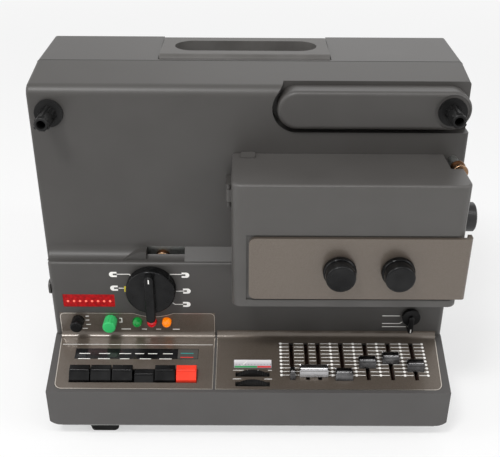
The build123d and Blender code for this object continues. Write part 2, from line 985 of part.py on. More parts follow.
# Lens cover: a box open to the back, hinged at its left edge
with BuildPart() as lens_cover:
    with BuildSketch(side_plane(cover_left)):
        with BuildLine():
            Polyline(
                (cover_front_y, cover_bottom),
                (cover_front_y, cover_top),
                (cover_back_y, cover_top),
                (cover_back_y, shelf_z + cover_gap),
                (cover_low_back_y, shelf_z + cover_gap),
                (cover_low_back_y, cover_bottom),
                close=True,
            )
        make_face()
    extrude(amount=cover_right - cover_left)
    fillet(lens_cover.edges().filter_by(Axis.Z).group_by(Axis.Y)[0], radius=cover_corner_radius)
    top_rim = lens_cover.faces().sort_by(Axis.Z)[-1].edges()
    top_rim = top_rim.filter_by(lambda edge: edge.center().Y < cover_back_y - 1)
    fillet(top_rim, radius=cover_edge_radius)
    inner = block(
        (cover_left + cover_wall, cover_right - cover_wall),
        (cover_inner_y, cover_back_y + 1),
        (cover_bottom + cover_wall, cover_top - cover_wall),
    )
    add(inner, mode=Mode.SUBTRACT)
    # Corner fillings that keep the wall full behind the round front edges
    for x in (cover_left + cover_wall, cover_right - cover_wall - cover_corner_radius / 3):
        add(
            block(
                (x, x + cover_corner_radius / 3),
                (cover_inner_y, cover_inner_y + cover_corner_radius / 3),
                (cover_bottom + cover_wall, cover_top - cover_wall),
            )
        )
    # Seat of the focus panel
    add(
        block(
            (focus_left - focus_groove, cover_right + 1),
            (cover_front_y - 1, cover_front_y + focus_recess),
            (focus_low - focus_groove, focus_high + focus_groove),
        ),
        mode=Mode.SUBTRACT,
    )
    # Openings for the lens tip, the inlet roller and the two shafts
    with BuildSketch(side_plane(cover_right + 1)):
        with Locations((axis_y, axis_z)):
            Circle(lens_ring_radius + lens_gap)
        with Locations(((axis_y + cover_back_y + 1) / 2, axis_z)):
            Rectangle(cover_back_y + 1 - axis_y, 2 * (lens_ring_radius + lens_gap))
    extrude(amount=-2 * cover_wall, mode=Mode.SUBTRACT)
    add(
        block(
            (inlet_x - roller_radius - roller_room, cover_right + 1),
            (inlet_front_y - roller_room, cover_back_y + 1),
            (inlet_z - roller_radius - roller_room, cover_top + 1),
        ),
        mode=Mode.SUBTRACT,
    )
    for x in (framer_x, focus_x):
        add(
            bar_y(x, focus_knob_z, shaft_radius + running_gap, (cover_front_y, cover_inner_y + 1)),
            mode=Mode.SUBTRACT,
        )
    # Finger lip, hinge barrel and hinge pin
    with BuildSketch(Plane.XY.offset(cover_top - cover_edge_radius)):
        with Locations(((lip_span[0] + lip_span[1]) / 2, cover_back_y - lip_depth / 2)):
            RectangleRounded(lip_span[1] - lip_span[0], lip_depth, cover_edge_radius)
    extrude(amount=cover_edge_radius + lip_rise)
    barrel = (hinge_z[0] + hinge_lug / 2 + part_gap, hinge_z[1] - hinge_lug / 2 - part_gap)
    add(bar_z(hinge_x, hinge_y, hinge_radius, barrel))
    add(block((hinge_x, cover_left + 1), (hinge_y - hinge_radius, hinge_y + hinge_radius), barrel))
    pin = (hinge_z[0] - hinge_lug / 2, hinge_z[1] + hinge_lug / 2)
    add(bar_z(hinge_x, hinge_y, hinge_pin_radius, pin))

with BuildPart() as focus_panel:
    with BuildSketch(front_plane(focus_front_y + focus_thickness)):
        with Locations(((focus_left + focus_right) / 2, (focus_low + focus_high) / 2)):
            Rectangle(focus_right - focus_left, focus_high - focus_low)
    extrude(amount=focus_thickness)
    corners = focus_panel.edges().filter_by(Axis.Y)
    fillet(corners.group_by(Axis.X)[0], radius=focus_corner_radius)
    add(
        block(
            (focus_right - focus_thickness, focus_right),
            (focus_front_y, focus_front_y + focus_wrap),
            (focus_low, focus_high),
        )
    )
    outer = focus_panel.edges().filter_by(Axis.Z).group_by(Axis.X)[-1].sort_by(Axis.Y)[0]
    fillet(outer, radius=focus_thickness)
    for x in (framer_x, focus_x):
        add(
            bar_y(x, focus_knob_z, shaft_radius + running_gap, (focus_front_y - 1, cover_front_y + 5)),
            mode=Mode.SUBTRACT,
        )


# Knob of the lens cover: flange, grip with grooves, shaft and inner collar
def cover_knob(x):
    back_y = focus_front_y - knob_gap
    front_y = back_y - flange_thickness - grip_length
    inner_y = cover_inner_y + knob_gap
    with BuildPart() as knob:
        add(bar_y(x, focus_knob_z, flange_radius, (back_y - flange_thickness, back_y)))
        add(bar_y(x, focus_knob_z, grip_radius, (front_y, back_y - flange_thickness)))
        fillet(knob.edges().group_by(Axis.Y)[0], radius=knob_edge_radius)
        with BuildSketch(front_plane(back_y - flange_thickness)):
            with Locations((x, focus_knob_z)):
                with PolarLocations(grip_radius + knob_edge_radius / 3, grip_grooves):
                    Circle(knob_edge_radius)
        extrude(amount=grip_length, mode=Mode.SUBTRACT)
        add(bar_y(x, focus_knob_z, shaft_radius, (back_y - 1, inner_y + collar_length)))
        add(bar_y(x, focus_knob_z, collar_radius, (inner_y, inner_y + collar_length)))
    return knob.part


with BuildPart() as framer_knob:
    add(cover_knob(framer_x))

with BuildPart() as focus_knob:
    add(cover_knob(focus_x))


# Window with an inner flange that bears on the back of its wall
def window(plane, place, size, skin, wall):
    with BuildPart() as pane:
        with BuildSketch(plane.offset(-wall)):
            with Locations(place):
                Rectangle(size[0] - 2 * running_gap, size[1] - 2 * running_gap)
        extrude(amount=wall + skin)
        with BuildSketch(plane.offset(-wall)):
            with Locations(place):
                Rectangle(size[0] + 2 * window_flange, size[1] + 2 * window_flange)
        extrude(amount=-window_flange / 2)
    return pane.part


with BuildPart() as indicator_window:
    add(window(deck, (strip_x, strip_row), strip_size, panel_proud, casing_wall))

with BuildPart() as display_window:
    place = (display_x, display_z)
    add(window(front_plane(control_y), place, display_size, -display_recess, casing_wall))

with BuildPart() as level_meter:
    add(window(deck, (meter_x, meter_row), meter_window, panel_proud, casing_wall))
    with BuildSketch(deck.offset(-meter_depth)):
        with Locations((meter_x, meter_row)):
            Rectangle(meter_window[0] + window_flange, meter_window[1] + window_flange)
    extrude(amount=meter_depth - casing_wall)

# Carrying handle that folds into the top of the rear cover
with BuildPart() as carry_handle:
    with BuildSketch(side_plane(handle_left)):
        with Locations(((handle_pivot_y + handle_rear_y) / 2, handle_pivot_z)):
            Rectangle(handle_rear_y - handle_pivot_y, 2 * handle_half)
        with Locations((handle_pivot_y, handle_pivot_z)):
            Circle(handle_half)
    extrude(amount=handle_right - handle_left)
    rear_edges = carry_handle.edges().filter_by(Axis.X).group_by(Axis.Y)[-1]
    fillet(rear_edges, radius=handle_edge_radius)
    with BuildSketch(Plane.XY.offset(handle_pivot_z - handle_half)):
        with Locations((grip_centre_x, grip_centre_y)):
            SlotOverall(grip_span, grip_width)
    extrude(amount=2 * handle_half, mode=Mode.SUBTRACT)
    pin_length = handle_gap + casing_wall
    pins = (handle_left - pin_length, handle_right + pin_length)
    add(bar_x(handle_pivot_y, handle_pivot_z, handle_pin_radius, (pins[0], handle_left)))
    add(bar_x(handle_pivot_y, handle_pivot_z, handle_pin_radius, (handle_right, pins[1])))

# Spool arm, hollow from the back, with its pivot stub and the spindle bearing
arm_inside = arm_radius - arm_wall
arm_middle_x = (arm_pivot_x + supply_x) / 2
supply_boss_y = arm_back_y - ring_length - 2 * part_gap

with BuildPart() as spool_arm:
    with BuildSketch(front_plane(arm_back_y)):
        with Locations((arm_middle_x, arm_z)):
            SlotCenterToCenter(arm_reach, 2 * arm_radius)
    extrude(amount=arm_thickness)
    fillet(spool_arm.edges().group_by(Axis.Y)[0], radius=arm_edge_radius)
    with BuildSketch(front_plane(arm_back_y)):
        with Locations((arm_middle_x, arm_z)):
            SlotCenterToCenter(arm_reach, 2 * arm_inside)
    extrude(amount=arm_thickness - arm_edge_radius, mode=Mode.SUBTRACT)
    stub_back_y = arm_back_y + pivot_length
    ring_front_y = recess_back_y + pivot_boss + part_gap
    add(bar_y(arm_pivot_x, arm_z, pivot_radius, (arm_front_y + arm_edge_radius, stub_back_y)))
    add(
        bar_y(
            arm_pivot_x,
            arm_z,
            pivot_radius + ring_length,
            (ring_front_y, ring_front_y + ring_length),
        )
    )
    add(
        bar_y(
            supply_x,
            arm_z,
            spindle_axle + 2 * arm_wall,
            (arm_front_y + arm_edge_radius, supply_boss_y),
        )
    )
    add(
        bar_y(supply_x, arm_z, spindle_ring, (arm_front_y - 1, arm_front_y + ring_depth)),
        mode=Mode.SUBTRACT,
    )
    add(
        bar_y(supply_x, arm_z, spindle_axle + running_gap, (arm_front_y, arm_back_y)),
        mode=Mode.SUBTRACT,
    )


# Reel spindle with three lobes and a hollow tip, from its flange to its tip
def spindle(x, z, seat_y, rear_y_end):
    back_y = seat_y - part_gap
    front_y = back_y - spindle_flange_thickness
    with BuildPart() as form:
        add(bar_y(x, z, spindle_flange, (front_y, back_y)))
        add(bar_y(x, z, spindle_barrel, (spindle_tip_y, front_y)))
        chamfer(form.edges().group_by(Axis.Y)[0], length=spindle_lobe / 2)
        with BuildSketch(front_plane(front_y)):
            with Locations((x, z)):
                with PolarLocations(spindle_barrel, 3, start_angle=90):
                    Circle(spindle_lobe)
        extrude(amount=front_y - spindle_tip_y - spindle_lobe)
        add(
            bar_y(x, z, spindle_bore, (spindle_tip_y, spindle_tip_y + spindle_bore_depth)),
            mode=Mode.SUBTRACT,
        )
        add(bar_y(x, z, spindle_axle, (back_y - 1, rear_y_end)))
    return form.part


# A pulley with a shallow groove for a flat belt
def pulley(x, z, radius, front_y):
    with BuildPart() as wheel:
        add(bar_y(x, z, radius + pulley_rim, (front_y, front_y + pulley_width)))
        rim = (pulley_width - belt_width - 2 * belt_gap) / 2
        groove = (front_y + rim, front_y + pulley_width - rim)
        add(bar_y(x, z, radius + 2 * pulley_rim, groove), mode=Mode.SUBTRACT)
        add(bar_y(x, z, radius, groove))
    return wheel.part


with BuildPart() as supply_spindle:
    add(spindle(supply_x, arm_z, arm_front_y + ring_depth, arm_back_y - part_gap))
    ring_y = (supply_boss_y + part_gap, supply_boss_y + part_gap + ring_length)
    add(bar_y(supply_x, arm_z, spindle_axle + ring_length, ring_y))

with BuildPart() as takeup_spindle:
    add(spindle(takeup_x, takeup_z, face_y, winding_pulley_y + pulley_width))
    add(pulley(takeup_x, takeup_z, spindle_pulley, winding_pulley_y))
    ring_y = (plate_back_y + part_gap, plate_back_y + part_gap + ring_length)
    add(bar_y(takeup_x, takeup_z, spindle_axle + ring_length, ring_y))

# Chassis plate behind the face: it carries the film path in front and the drive behind
with BuildPart() as chassis_plate:
    add(block(plate_span, (plate_front_y, plate_back_y), plate_rows))
    for x, z in pad_places:
        add(
            bar_y(x, z, screw_shank + running_gap, (plate_front_y - 1, plate_back_y + 1)),
            mode=Mode.SUBTRACT,
        )
    # Studs of the two rollers and the fixed film guide
    stud_shoulder_y = inlet_front_y + inlet_width + part_gap
    add(bar_y(inlet_x, inlet_z, stud_radius, (inlet_front_y - part_gap, plate_front_y)))
    add(bar_y(inlet_x, inlet_z, 2 * stud_radius, (stud_shoulder_y, face_y - part_gap)))
    stud_head_y = inlet_front_y - part_gap
    add(bar_y(inlet_x, inlet_z, 2 * stud_radius, (stud_head_y - stud_head, stud_head_y)))
    add(bar_y(outlet_x, outlet_z, stud_radius, (outlet_front_y, plate_front_y)))
    add(bar_y(guide_x, guide_z, stud_radius, (outlet_front_y, plate_front_y)))
    # Bearing bosses of the sprocket, the capstan and the shutter
    for x, z, axle in (
        (sprocket_x, sprocket_z, sprocket_axle),
        (capstan_x, capstan_z, capstan_radius),
    ):
        add(bar_y(x, z, axle + 1.5 * plate_thickness, (bearing_front_y, plate_front_y)))
        add(
            bar_y(x, z, axle + running_gap, (bearing_front_y - 1, plate_back_y + 1)),
            mode=Mode.SUBTRACT,
        )
    add(
        block(
            bearing_span,
            (shutter_y - bearing_half, plate_front_y),
            (shutter_z - bearing_half, shutter_z + bearing_half),
        )
    )
    add(
        bar_x(
            shutter_y,
            shutter_z,
            shutter_axle + running_gap,
            (bearing_span[0] - 1, bearing_span[1] + 1),
        ),
        mode=Mode.SUBTRACT,
    )
    # Posts of the motor
    for angle in motor_post_angles:
        x = motor_x + motor_post_circle * math.cos(math.radians(angle))
        z = motor_z + motor_post_circle * math.sin(math.radians(angle))
        add(bar_y(x, z, motor_post_radius, (plate_back_y, motor_face_y)))

with BuildPart() as lens_holder:
    sleeve = lens_radius + holder_wall
    add(bar_x(axis_y, axis_z, sleeve, holder_span))
    add(
        block(
            holder_span,
            (axis_y + lens_radius, plate_front_y),
            (axis_z - holder_foot / 2, axis_z + holder_foot / 2),
        )
    )
    add(
        bar_x(
            axis_y,
            axis_z,
            lens_radius + running_gap,
            (holder_span[0] - 1, holder_span[1] + 1),
        ),
        mode=Mode.SUBTRACT,
    )

with BuildPart() as lens:
    add(bar_x(axis_y, axis_z, lens_radius, (lens_back_x, lens_tip_x - 1)))
    add(bar_x(axis_y, axis_z, lens_ring_radius, (lens_tip_x - lens_ring_length, lens_tip_x)))
    chamfer(lens.edges().group_by(Axis.X)[-1], length=lens_glass_inset / 2)
    glass = lens_radius - lens_glass_inset
    add(
        bar_x(axis_y, axis_z, glass, (lens_tip_x - lens_glass_inset, lens_tip_x + 1)),
        mode=Mode.SUBTRACT,
    )
    add(
        bar_x(axis_y, axis_z, glass, (lens_back_x - 1, lens_back_x + lens_glass_inset)),
        mode=Mode.SUBTRACT,
    )

# Film gate: fixed plate, pressure plate and the two pins that join them
with BuildPart() as film_gate:
    gate_y = (axis_y - gate_half_width, axis_y + gate_half_width)
    pressure_x = gate_x + gate_thickness + film_gap
    pressure = (pressure_x, pressure_x + gate_thickness / 2)
    add(block((gate_x, gate_x + gate_thickness), gate_y, gate_rows))
    add(block(pressure, gate_y, gate_rows))
    for row in (gate_rows[0] + gate_thickness, gate_rows[1] - gate_thickness):
        add(bar_x(gate_y[0] + gate_thickness, row, stud_radius / 2, (gate_x, pressure[1])))
        add(bar_x(gate_y[1] - gate_thickness, row, stud_radius / 2, (gate_x, pressure[1])))
    with BuildSketch(side_plane(gate_x - 1)):
        with Locations((axis_y, axis_z)):
            Rectangle(*aperture)
    extrude(amount=4 * gate_thickness, mode=Mode.SUBTRACT)
    add(
        block(
            (gate_x, gate_x + gate_thickness),
            (gate_y[1], plate_front_y),
            (axis_z - holder_foot, axis_z + holder_foot),
        )
    )

# Shutter disc with two openings, on its own axle
with BuildPart() as shutter:
    disc_x = (shutter_x - shutter_thickness / 2, shutter_x + shutter_thickness / 2)
    add(bar_x(shutter_y, shutter_z, shutter_radius, disc_x))
    with BuildSketch(side_plane(disc_x[0] - 1)):
        for turn in (45, 225):
            with BuildLine():
                reach = 2 * shutter_radius
                near = 3 * shutter_axle
                low = math.radians(turn - shutter_opening / 2)
                high = math.radians(turn + shutter_opening / 2)
                Polyline(
                    (shutter_y + near * math.cos(low), shutter_z + near * math.sin(low)),
                    (shutter_y + reach * math.cos(low), shutter_z + reach * math.sin(low)),
                    (shutter_y + reach * math.cos(high), shutter_z + reach * math.sin(high)),
                    (shutter_y + near * math.cos(high), shutter_z + near * math.sin(high)),
                    close=True,
                )
            make_face()
    extrude(amount=shutter_thickness + 2, mode=Mode.SUBTRACT)
    add(bar_x(shutter_y, shutter_z, 2 * shutter_axle, (disc_x[0] - 2, bearing_span[0] - axial_gap)))
    collar_x = bearing_span[1] + axial_gap
    add(bar_x(shutter_y, shutter_z, shutter_axle, (disc_x[0], collar_x + axial_gap)))
    add(bar_x(shutter_y, shutter_z, 1.5 * shutter_axle, (collar_x, collar_x + 2 * axial_gap)))

# Projection lamp: reflector bowl, bulb, socket and the bracket to the plate
with BuildPart() as projection_lamp:
    neck_x = lamp_mouth_x - reflector_depth
    with BuildSketch(Plane.XY.offset(axis_z)) as bowl:
        with BuildLine():
            rim_y = axis_y + reflector_radius
            neck_y = axis_y + reflector_neck
            Spline(
                (neck_x, neck_y),
                (lamp_mouth_x, rim_y),
                tangents=[(0, 1), (1, 0.2)],
            )
            Line((lamp_mouth_x, rim_y), (lamp_mouth_x, rim_y - reflector_wall))
            Spline(
                (lamp_mouth_x, rim_y - reflector_wall),
                (neck_x + reflector_wall, neck_y),
                tangents=[(-1, -0.2), (0, -1)],
            )
            Line((neck_x + reflector_wall, neck_y), (neck_x + reflector_wall, axis_y))
            Line((neck_x + reflector_wall, axis_y), (neck_x, axis_y))
            Line((neck_x, axis_y), (neck_x, neck_y))
        make_face()
    revolve(axis=Axis((0, axis_y, axis_z), (1, 0, 0)))
    add(bar_x(axis_y, axis_z, bulb_radius, (neck_x, neck_x + bulb_length)))
    socket_x_end = neck_x - lamp_socket[2]
    add(
        block(
            (socket_x_end, neck_x),
            (axis_y - lamp_socket[0] / 2, axis_y + lamp_socket[0] / 2),
            (axis_z - lamp_socket[1] / 2, axis_z + lamp_socket[1] / 2),
        )
    )
    add(
        block(
            (socket_x_end, socket_x_end + lamp_bracket[0]),
            (axis_y, plate_front_y),
            (axis_z - lamp_bracket[1] / 2, axis_z + lamp_bracket[1] / 2),
        )
    )

# Feed sprocket with a toothed rim at each end
with BuildPart() as feed_sprocket:
    sprocket_back_y = sprocket_front_y + sprocket_length
    add(bar_y(sprocket_x, sprocket_z, sprocket_radius, (sprocket_front_y, sprocket_back_y)))
    for front_y in (sprocket_front_y, sprocket_back_y - 1.5 * film_gap):
        with BuildSketch(front_plane(front_y + 1.5 * film_gap)):
            with Locations((sprocket_x, sprocket_z)):
                with PolarLocations(sprocket_radius, sprocket_teeth):
                    Circle(sprocket_rim - sprocket_radius)
        extrude(amount=1.5 * film_gap)
    rear_end = plate_back_y + axial_gap + ring_length
    add(bar_y(sprocket_x, sprocket_z, sprocket_axle, (sprocket_front_y, rear_end)))
    ring_y = (plate_back_y + axial_gap, rear_end)
    add(bar_y(sprocket_x, sprocket_z, sprocket_axle + ring_length, ring_y))

# Sound head: block with a film groove beside the capstan and the exciter lamp at its left
with BuildPart() as sound_head:
    sound_middle_z = (sound_head_rows[0] + sound_head_rows[1]) / 2
    add(block(sound_head_span, (capstan_front_y, plate_front_y), sound_head_rows))
    chamfer(sound_head.edges().filter_by(Axis.Y), length=film_gap)
    add(
        block(
            (sound_head_span[1] - film_gap, sound_head_span[1] + 1),
            (axis_y - gate_half_width / 4, axis_y + gate_half_width / 2),
            sound_head_rows,
        ),
        mode=Mode.SUBTRACT,
    )
    exciter_x = (sound_head_span[0] - exciter_length, sound_head_span[0])
    add(bar_x(axis_y + exciter_radius, sound_middle_z, exciter_radius, exciter_x))

# Flywheel with its two pulleys and the capstan that the film runs over
with BuildPart() as flywheel:
    add(bar_y(capstan_x, capstan_z, flywheel_radius, (flywheel_front_y, drive_pulley_y)))
    fillet(flywheel.edges(), radius=film_gap)
    add(pulley(capstan_x, capstan_z, drive_pulley, drive_pulley_y))
    add(pulley(capstan_x, capstan_z, winding_pulley, winding_pulley_y))
    add(bar_y(capstan_x, capstan_z, capstan_radius, (capstan_front_y, winding_pulley_y)))
    ring_y = (bearing_front_y - axial_gap - ring_length, bearing_front_y - axial_gap)
    add(bar_y(capstan_x, capstan_z, 2 * capstan_radius, ring_y))


# Small roller with a rim at each end, free on its stud
def roller(x, z, front_y, width):
    with BuildPart() as form:
        add(bar_y(x, z, roller_radius, (front_y, front_y + width)))
        chamfer(form.edges(), length=roller_rim / 4)
        groove = (front_y + roller_rim, front_y + width - roller_rim)
        add(bar_y(x, z, roller_radius + 1, groove), mode=Mode.SUBTRACT)
        add(bar_y(x, z, roller_core, groove))
        add(
            bar_y(x, z, stud_radius + running_gap, (front_y - 1, front_y + width + 1)),
            mode=Mode.SUBTRACT,
        )
    return form.part


with BuildPart() as inlet_roller:
    add(roller(inlet_x, inlet_z, inlet_front_y, inlet_width))

with BuildPart() as outlet_roller:
    outlet_width = plate_front_y - running_gap - outlet_front_y
    add(roller(outlet_x, outlet_z, outlet_front_y, outlet_width))

# Motor with its bearing through the middle, and the rotor with pulley and fan
with BuildPart() as motor:
    add(bar_y(motor_x, motor_z, motor_radius, (motor_face_y, motor_rear_y)))
    fillet(motor.edges(), radius=ring_length)
    add(
        bar_y(
            motor_x,
            motor_z,
            motor_axle + running_gap,
            (motor_face_y - 1, motor_rear_y + 1),
        ),
        mode=Mode.SUBTRACT,
    )

with BuildPart() as motor_rotor:
    fan_front_y = motor_rear_y + fan_gap
    fan_back_y = fan_front_y + fan_depth
    add(bar_y(motor_x, motor_z, motor_axle, (drive_pulley_y, fan_back_y)))
    add(pulley(motor_x, motor_z, motor_pulley, drive_pulley_y))
    add(bar_y(motor_x, motor_z, fan_hub, (fan_front_y, fan_back_y)))
    add(
        bar_y(
            motor_x,
            motor_z,
            2 * motor_axle,
            (motor_rear_y + axial_gap, motor_rear_y + axial_gap + ring_length),
        )
    )
    with BuildSketch(front_plane(fan_back_y)):
        with Locations((motor_x, motor_z)):
            with PolarLocations((fan_hub + fan_radius) / 2 - 1, fan_blades):
                Rectangle(fan_radius - fan_hub + 1, blade_thickness)
    extrude(amount=fan_depth)
    add(
        bar_y(motor_x, motor_z, fan_radius, (fan_back_y - blade_thickness, fan_back_y)),
    )


# Flat belt round two pulleys: the hull of two discs with a smaller hull taken out
def belt(first, second, front_y):
    low_y = front_y + (pulley_width - belt_width) / 2
    forms = []
    for extra in (belt_gap + belt_thickness, belt_gap):
        x1, z1, r1 = first[0], first[1], first[2] + extra
        x2, z2, r2 = second[0], second[1], second[2] + extra
        along = math.atan2(z2 - z1, x2 - x1)
        span = math.hypot(x2 - x1, z2 - z1)
        lean = math.acos((r1 - r2) / span)
        points = []
        for x, z, r, side in ((x1, z1, r1, 1), (x2, z2, r2, 1), (x2, z2, r2, -1), (x1, z1, r1, -1)):
            turn = along + side * lean
            points.append((x + r * math.cos(turn), z + r * math.sin(turn)))
        with BuildPart() as form:
            with BuildSketch(front_plane(low_y + belt_width)):
                with BuildLine():
                    Polyline(*points, close=True)
                make_face()
                with Locations((x1, z1)):
                    Circle(r1)
                with Locations((x2, z2)):
                    Circle(r2)
            extrude(amount=belt_width)
        forms.append(form.part)
    with BuildPart() as loop:
        add(forms[0])
        add(forms[1], mode=Mode.SUBTRACT)
    return loop.part


with BuildPart() as belts:
    shaft = (capstan_x, capstan_z)
    add(belt((*shaft, drive_pulley), (motor_x, motor_z, motor_pulley), drive_pulley_y))
    add(belt((*shaft, winding_pulley), (takeup_x, takeup_z, spindle_pulley), winding_pulley_y))

# Transformer: laminated core with a rounded winding that stands out front and back
with BuildPart() as transformer:
    x, y = transformer_place
    width, depth, height = transformer_size
    add(
        block(
            (x - width / 2, x + width / 2),
            (y - depth / 2, y + depth / 2),
            (pan_top_z, pan_top_z + height),
        )
    )
    with BuildSketch(Plane.XY.offset(pan_top_z + height / 6)):
        with Locations(transformer_place):
            RectangleRounded(2 * width / 3, depth + 2 * winding_bulge, winding_bulge)
    extrude(amount=2 * height / 3)

with BuildPart() as speaker:
    wall_x = casing_wall - half_body
    add(bar_x(speaker_y, speaker_z, speaker_radius, (wall_x, wall_x + casing_wall)))
    add(
        bar_x(
            speaker_y,
            speaker_z,
            speaker_radius - 2 * casing_wall,
            (wall_x - 1, wall_x + casing_wall / 2),
        ),
        mode=Mode.SUBTRACT,
    )
    with BuildSketch(side_plane(wall_x + casing_wall)):
        with Locations((speaker_y, speaker_z)):
            Circle(speaker_radius - casing_wall)
    with BuildSketch(side_plane(wall_x + speaker_depth / 2)):
        with Locations((speaker_y, speaker_z)):
            Circle(speaker_radius / 2)
    loft()
    magnet = (wall_x + speaker_depth / 2, wall_x + speaker_depth)
    add(bar_x(speaker_y, speaker_z, speaker_radius / 2, magnet))

# Socket panel at the back: mains inlet, two round sound sockets and a jack
with BuildPart() as socket_panel:
    left_x = socket_x - socket_size[0] / 2
    inlet_middle_x = left_x + socket_size[0] - inlet_body[0] / 2 - casing_wall
    with BuildSketch(front_plane(rear_y)):
        with Locations((socket_x, socket_z)):
            RectangleRounded(
                socket_size[0] - part_gap,
                socket_size[1] - part_gap,
                socket_corner - part_gap / 2,
            )
    extrude(amount=casing_wall)
    with BuildSketch(front_plane(inner_rear_y)):
        with Locations((socket_x, socket_z)):
            Rectangle(socket_size[0] + 3 * casing_wall, socket_size[1] + 3 * casing_wall)
    extrude(amount=casing_wall / 2)
    socket_back_y = rear_y - inlet_pocket_depth - casing_wall
    add(
        block(
            (inlet_middle_x - inlet_body[0] / 2, inlet_middle_x + inlet_body[0] / 2),
            (socket_back_y, inner_rear_y),
            (socket_z - inlet_body[1] / 2, socket_z + inlet_body[1] / 2),
        )
    )
    for place in din_places:
        x = left_x + place + din_radius
        add(bar_y(x, socket_z, din_radius + 1, (socket_back_y, inner_rear_y)))
    jack_x = left_x + jack_place + din_radius
    add(bar_y(jack_x, socket_z, 2 * jack_radius, (socket_back_y, inner_rear_y)))
    # Hollows of the sockets
    add(
        block(
            (inlet_middle_x - inlet_pocket[0] / 2, inlet_middle_x + inlet_pocket[0] / 2),
            (rear_y - inlet_pocket_depth, rear_y + 1),
            (socket_z - inlet_pocket[1] / 2, socket_z + inlet_pocket[1] / 2),
        ),
        mode=Mode.SUBTRACT,
    )
    for place in din_places:
        x = left_x + place + din_radius
        hollow = (rear_y - inlet_pocket_depth / 2, rear_y + 1)
        add(bar_y(x, socket_z, din_radius, hollow), mode=Mode.SUBTRACT)
        for angle in (-150, -120, -90, -60, -30):
            turn = math.radians(angle)
            pin_x = x + din_radius / 2 * math.cos(turn)
            pin_z = socket_z + din_radius / 2 * math.sin(turn)
            contact = (rear_y - inlet_pocket_depth, hollow[0])
            add(bar_y(pin_x, pin_z, film_gap, contact), mode=Mode.SUBTRACT)
    add(
        bar_y(jack_x, socket_z, jack_radius, (rear_y - inlet_pocket_depth, rear_y + 1)),
        mode=Mode.SUBTRACT,
    )
    # Three flat contacts in the mains inlet
    for across, up in ((-7.0, -2.0), (0.0, 2.0), (7.0, -2.0)):
        add(
            block(
                (inlet_middle_x + across - film_gap, inlet_middle_x + across + film_gap),
                (socket_back_y + 1, rear_y - casing_wall),
                (socket_z + up - stud_radius, socket_z + up + stud_radius),
            )
        )

# Screws of the bottom pan and of the chassis plate
with BuildPart() as casing_screws:
    for x, y in boss_front + boss_rear:
        add(bar_z(x, y, screw_head_radius, (foot_height - screw_head, foot_height)))
        tip_z = foot_height + screw_length - 1
        add(bar_z(x, y, screw_shank - running_gap, (foot_height - 1, tip_z)))
        add(
            block(
                (x - screw_head_radius, x + screw_head_radius),
                (y - part_gap, y + part_gap),
                (foot_height - screw_head - 1, foot_height - screw_head / 2),
            ),
            mode=Mode.SUBTRACT,
        )
    for x, z in pad_places:
        add(bar_y(x, z, screw_head_radius, (plate_back_y, plate_back_y + screw_head)))
        add(bar_y(x, z, screw_shank - running_gap, (inner_face_y - part_gap, plate_back_y + 1)))

# Rotary knobs of the control face
shaft_end_y = inner_control_y + 2 * screw_head

with BuildPart() as mode_knob:
    knob_back_y = control_y - knob_gap
    knob_front_y = control_y - mode_disc
    add(bar_y(mode_x, mode_z, mode_radius, (knob_front_y, knob_back_y)))
    fillet(mode_knob.edges().group_by(Axis.Y)[0], radius=knob_edge_radius)
    with BuildSketch(front_plane(knob_front_y)):
        with Locations((mode_x, mode_z + (mode_bar_up - mode_bar_down) / 2)):
            SlotOverall(mode_bar_up + mode_bar_down, mode_bar_width, rotation=90)
    extrude(amount=mode_bar_rise)
    fillet(mode_knob.edges().group_by(Axis.Y)[0], radius=knob_edge_radius)
    add(bar_y(mode_x, mode_z, shaft_radius, (knob_front_y, shaft_end_y)))


# Small round knob with a shaft that ends in its control behind the face
def small_knob(x, radius):
    back_y = control_y - knob_gap
    front_y = control_y - small_knob_length
    with BuildPart() as knob:
        add(bar_y(x, small_knob_z, radius, (front_y, back_y)))
        fillet(knob.edges().group_by(Axis.Y)[0], radius=knob_edge_radius)
        with BuildSketch(front_plane(back_y)):
            with Locations((x, small_knob_z)):
                with PolarLocations(radius + knob_edge_radius / 4, grip_grooves // 2):
                    Circle(knob_edge_radius / 2)
        extrude(amount=small_knob_length, mode=Mode.SUBTRACT)
        add(bar_y(x, small_knob_z, shaft_radius, (back_y - 1, shaft_end_y)))
    return knob.part


with BuildPart() as fade_knob:
    add(small_knob(fade_x, fade_radius))

with BuildPart() as green_knob:
    add(small_knob(green_x, green_radius))

with BuildPart() as speed_lever:
    lever_back_y = control_y - panel_proud - knob_gap
    lever_front_y = lever_back_y - speed_thickness
    add(bar_y(speed_x, speed_z, speed_radius, (lever_front_y, lever_back_y)))
    with BuildSketch(front_plane(lever_back_y)):
        with Locations((speed_x, speed_z - speed_reach / 2)):
            SlotOverall(speed_reach + speed_bar_width, speed_bar_width, rotation=90)
    extrude(amount=1.6 * speed_thickness)
    fillet(speed_lever.edges().group_by(Axis.Y)[0], radius=panel_thickness)
    add(bar_y(speed_x, speed_z, shaft_radius, (lever_back_y - 1, shaft_end_y)))
    ring_y = (shaft_end_y - ring_length, shaft_end_y)
    add(bar_y(speed_x, speed_z, shaft_radius + ring_length, ring_y))

# Lit push buttons: a cap in front of the panel, a flange and a stem behind the wall
buttons = {}
for name, x in zip(button_names, button_x):
    with BuildPart() as button:
        cap_front_y = control_y - button_length
        flange_y = inner_control_y + part_gap
        add(bar_y(x, button_z, button_radius, (cap_front_y, flange_y)))
        fillet(button.edges().group_by(Axis.Y)[0], radius=panel_thickness)
        add(bar_y(x, button_z, button_radius + 1, (flange_y, flange_y + 1)))
        add(bar_y(x, button_z, stud_radius, (flange_y, flange_y + 2 * button_travel)))
    buttons[name] = button

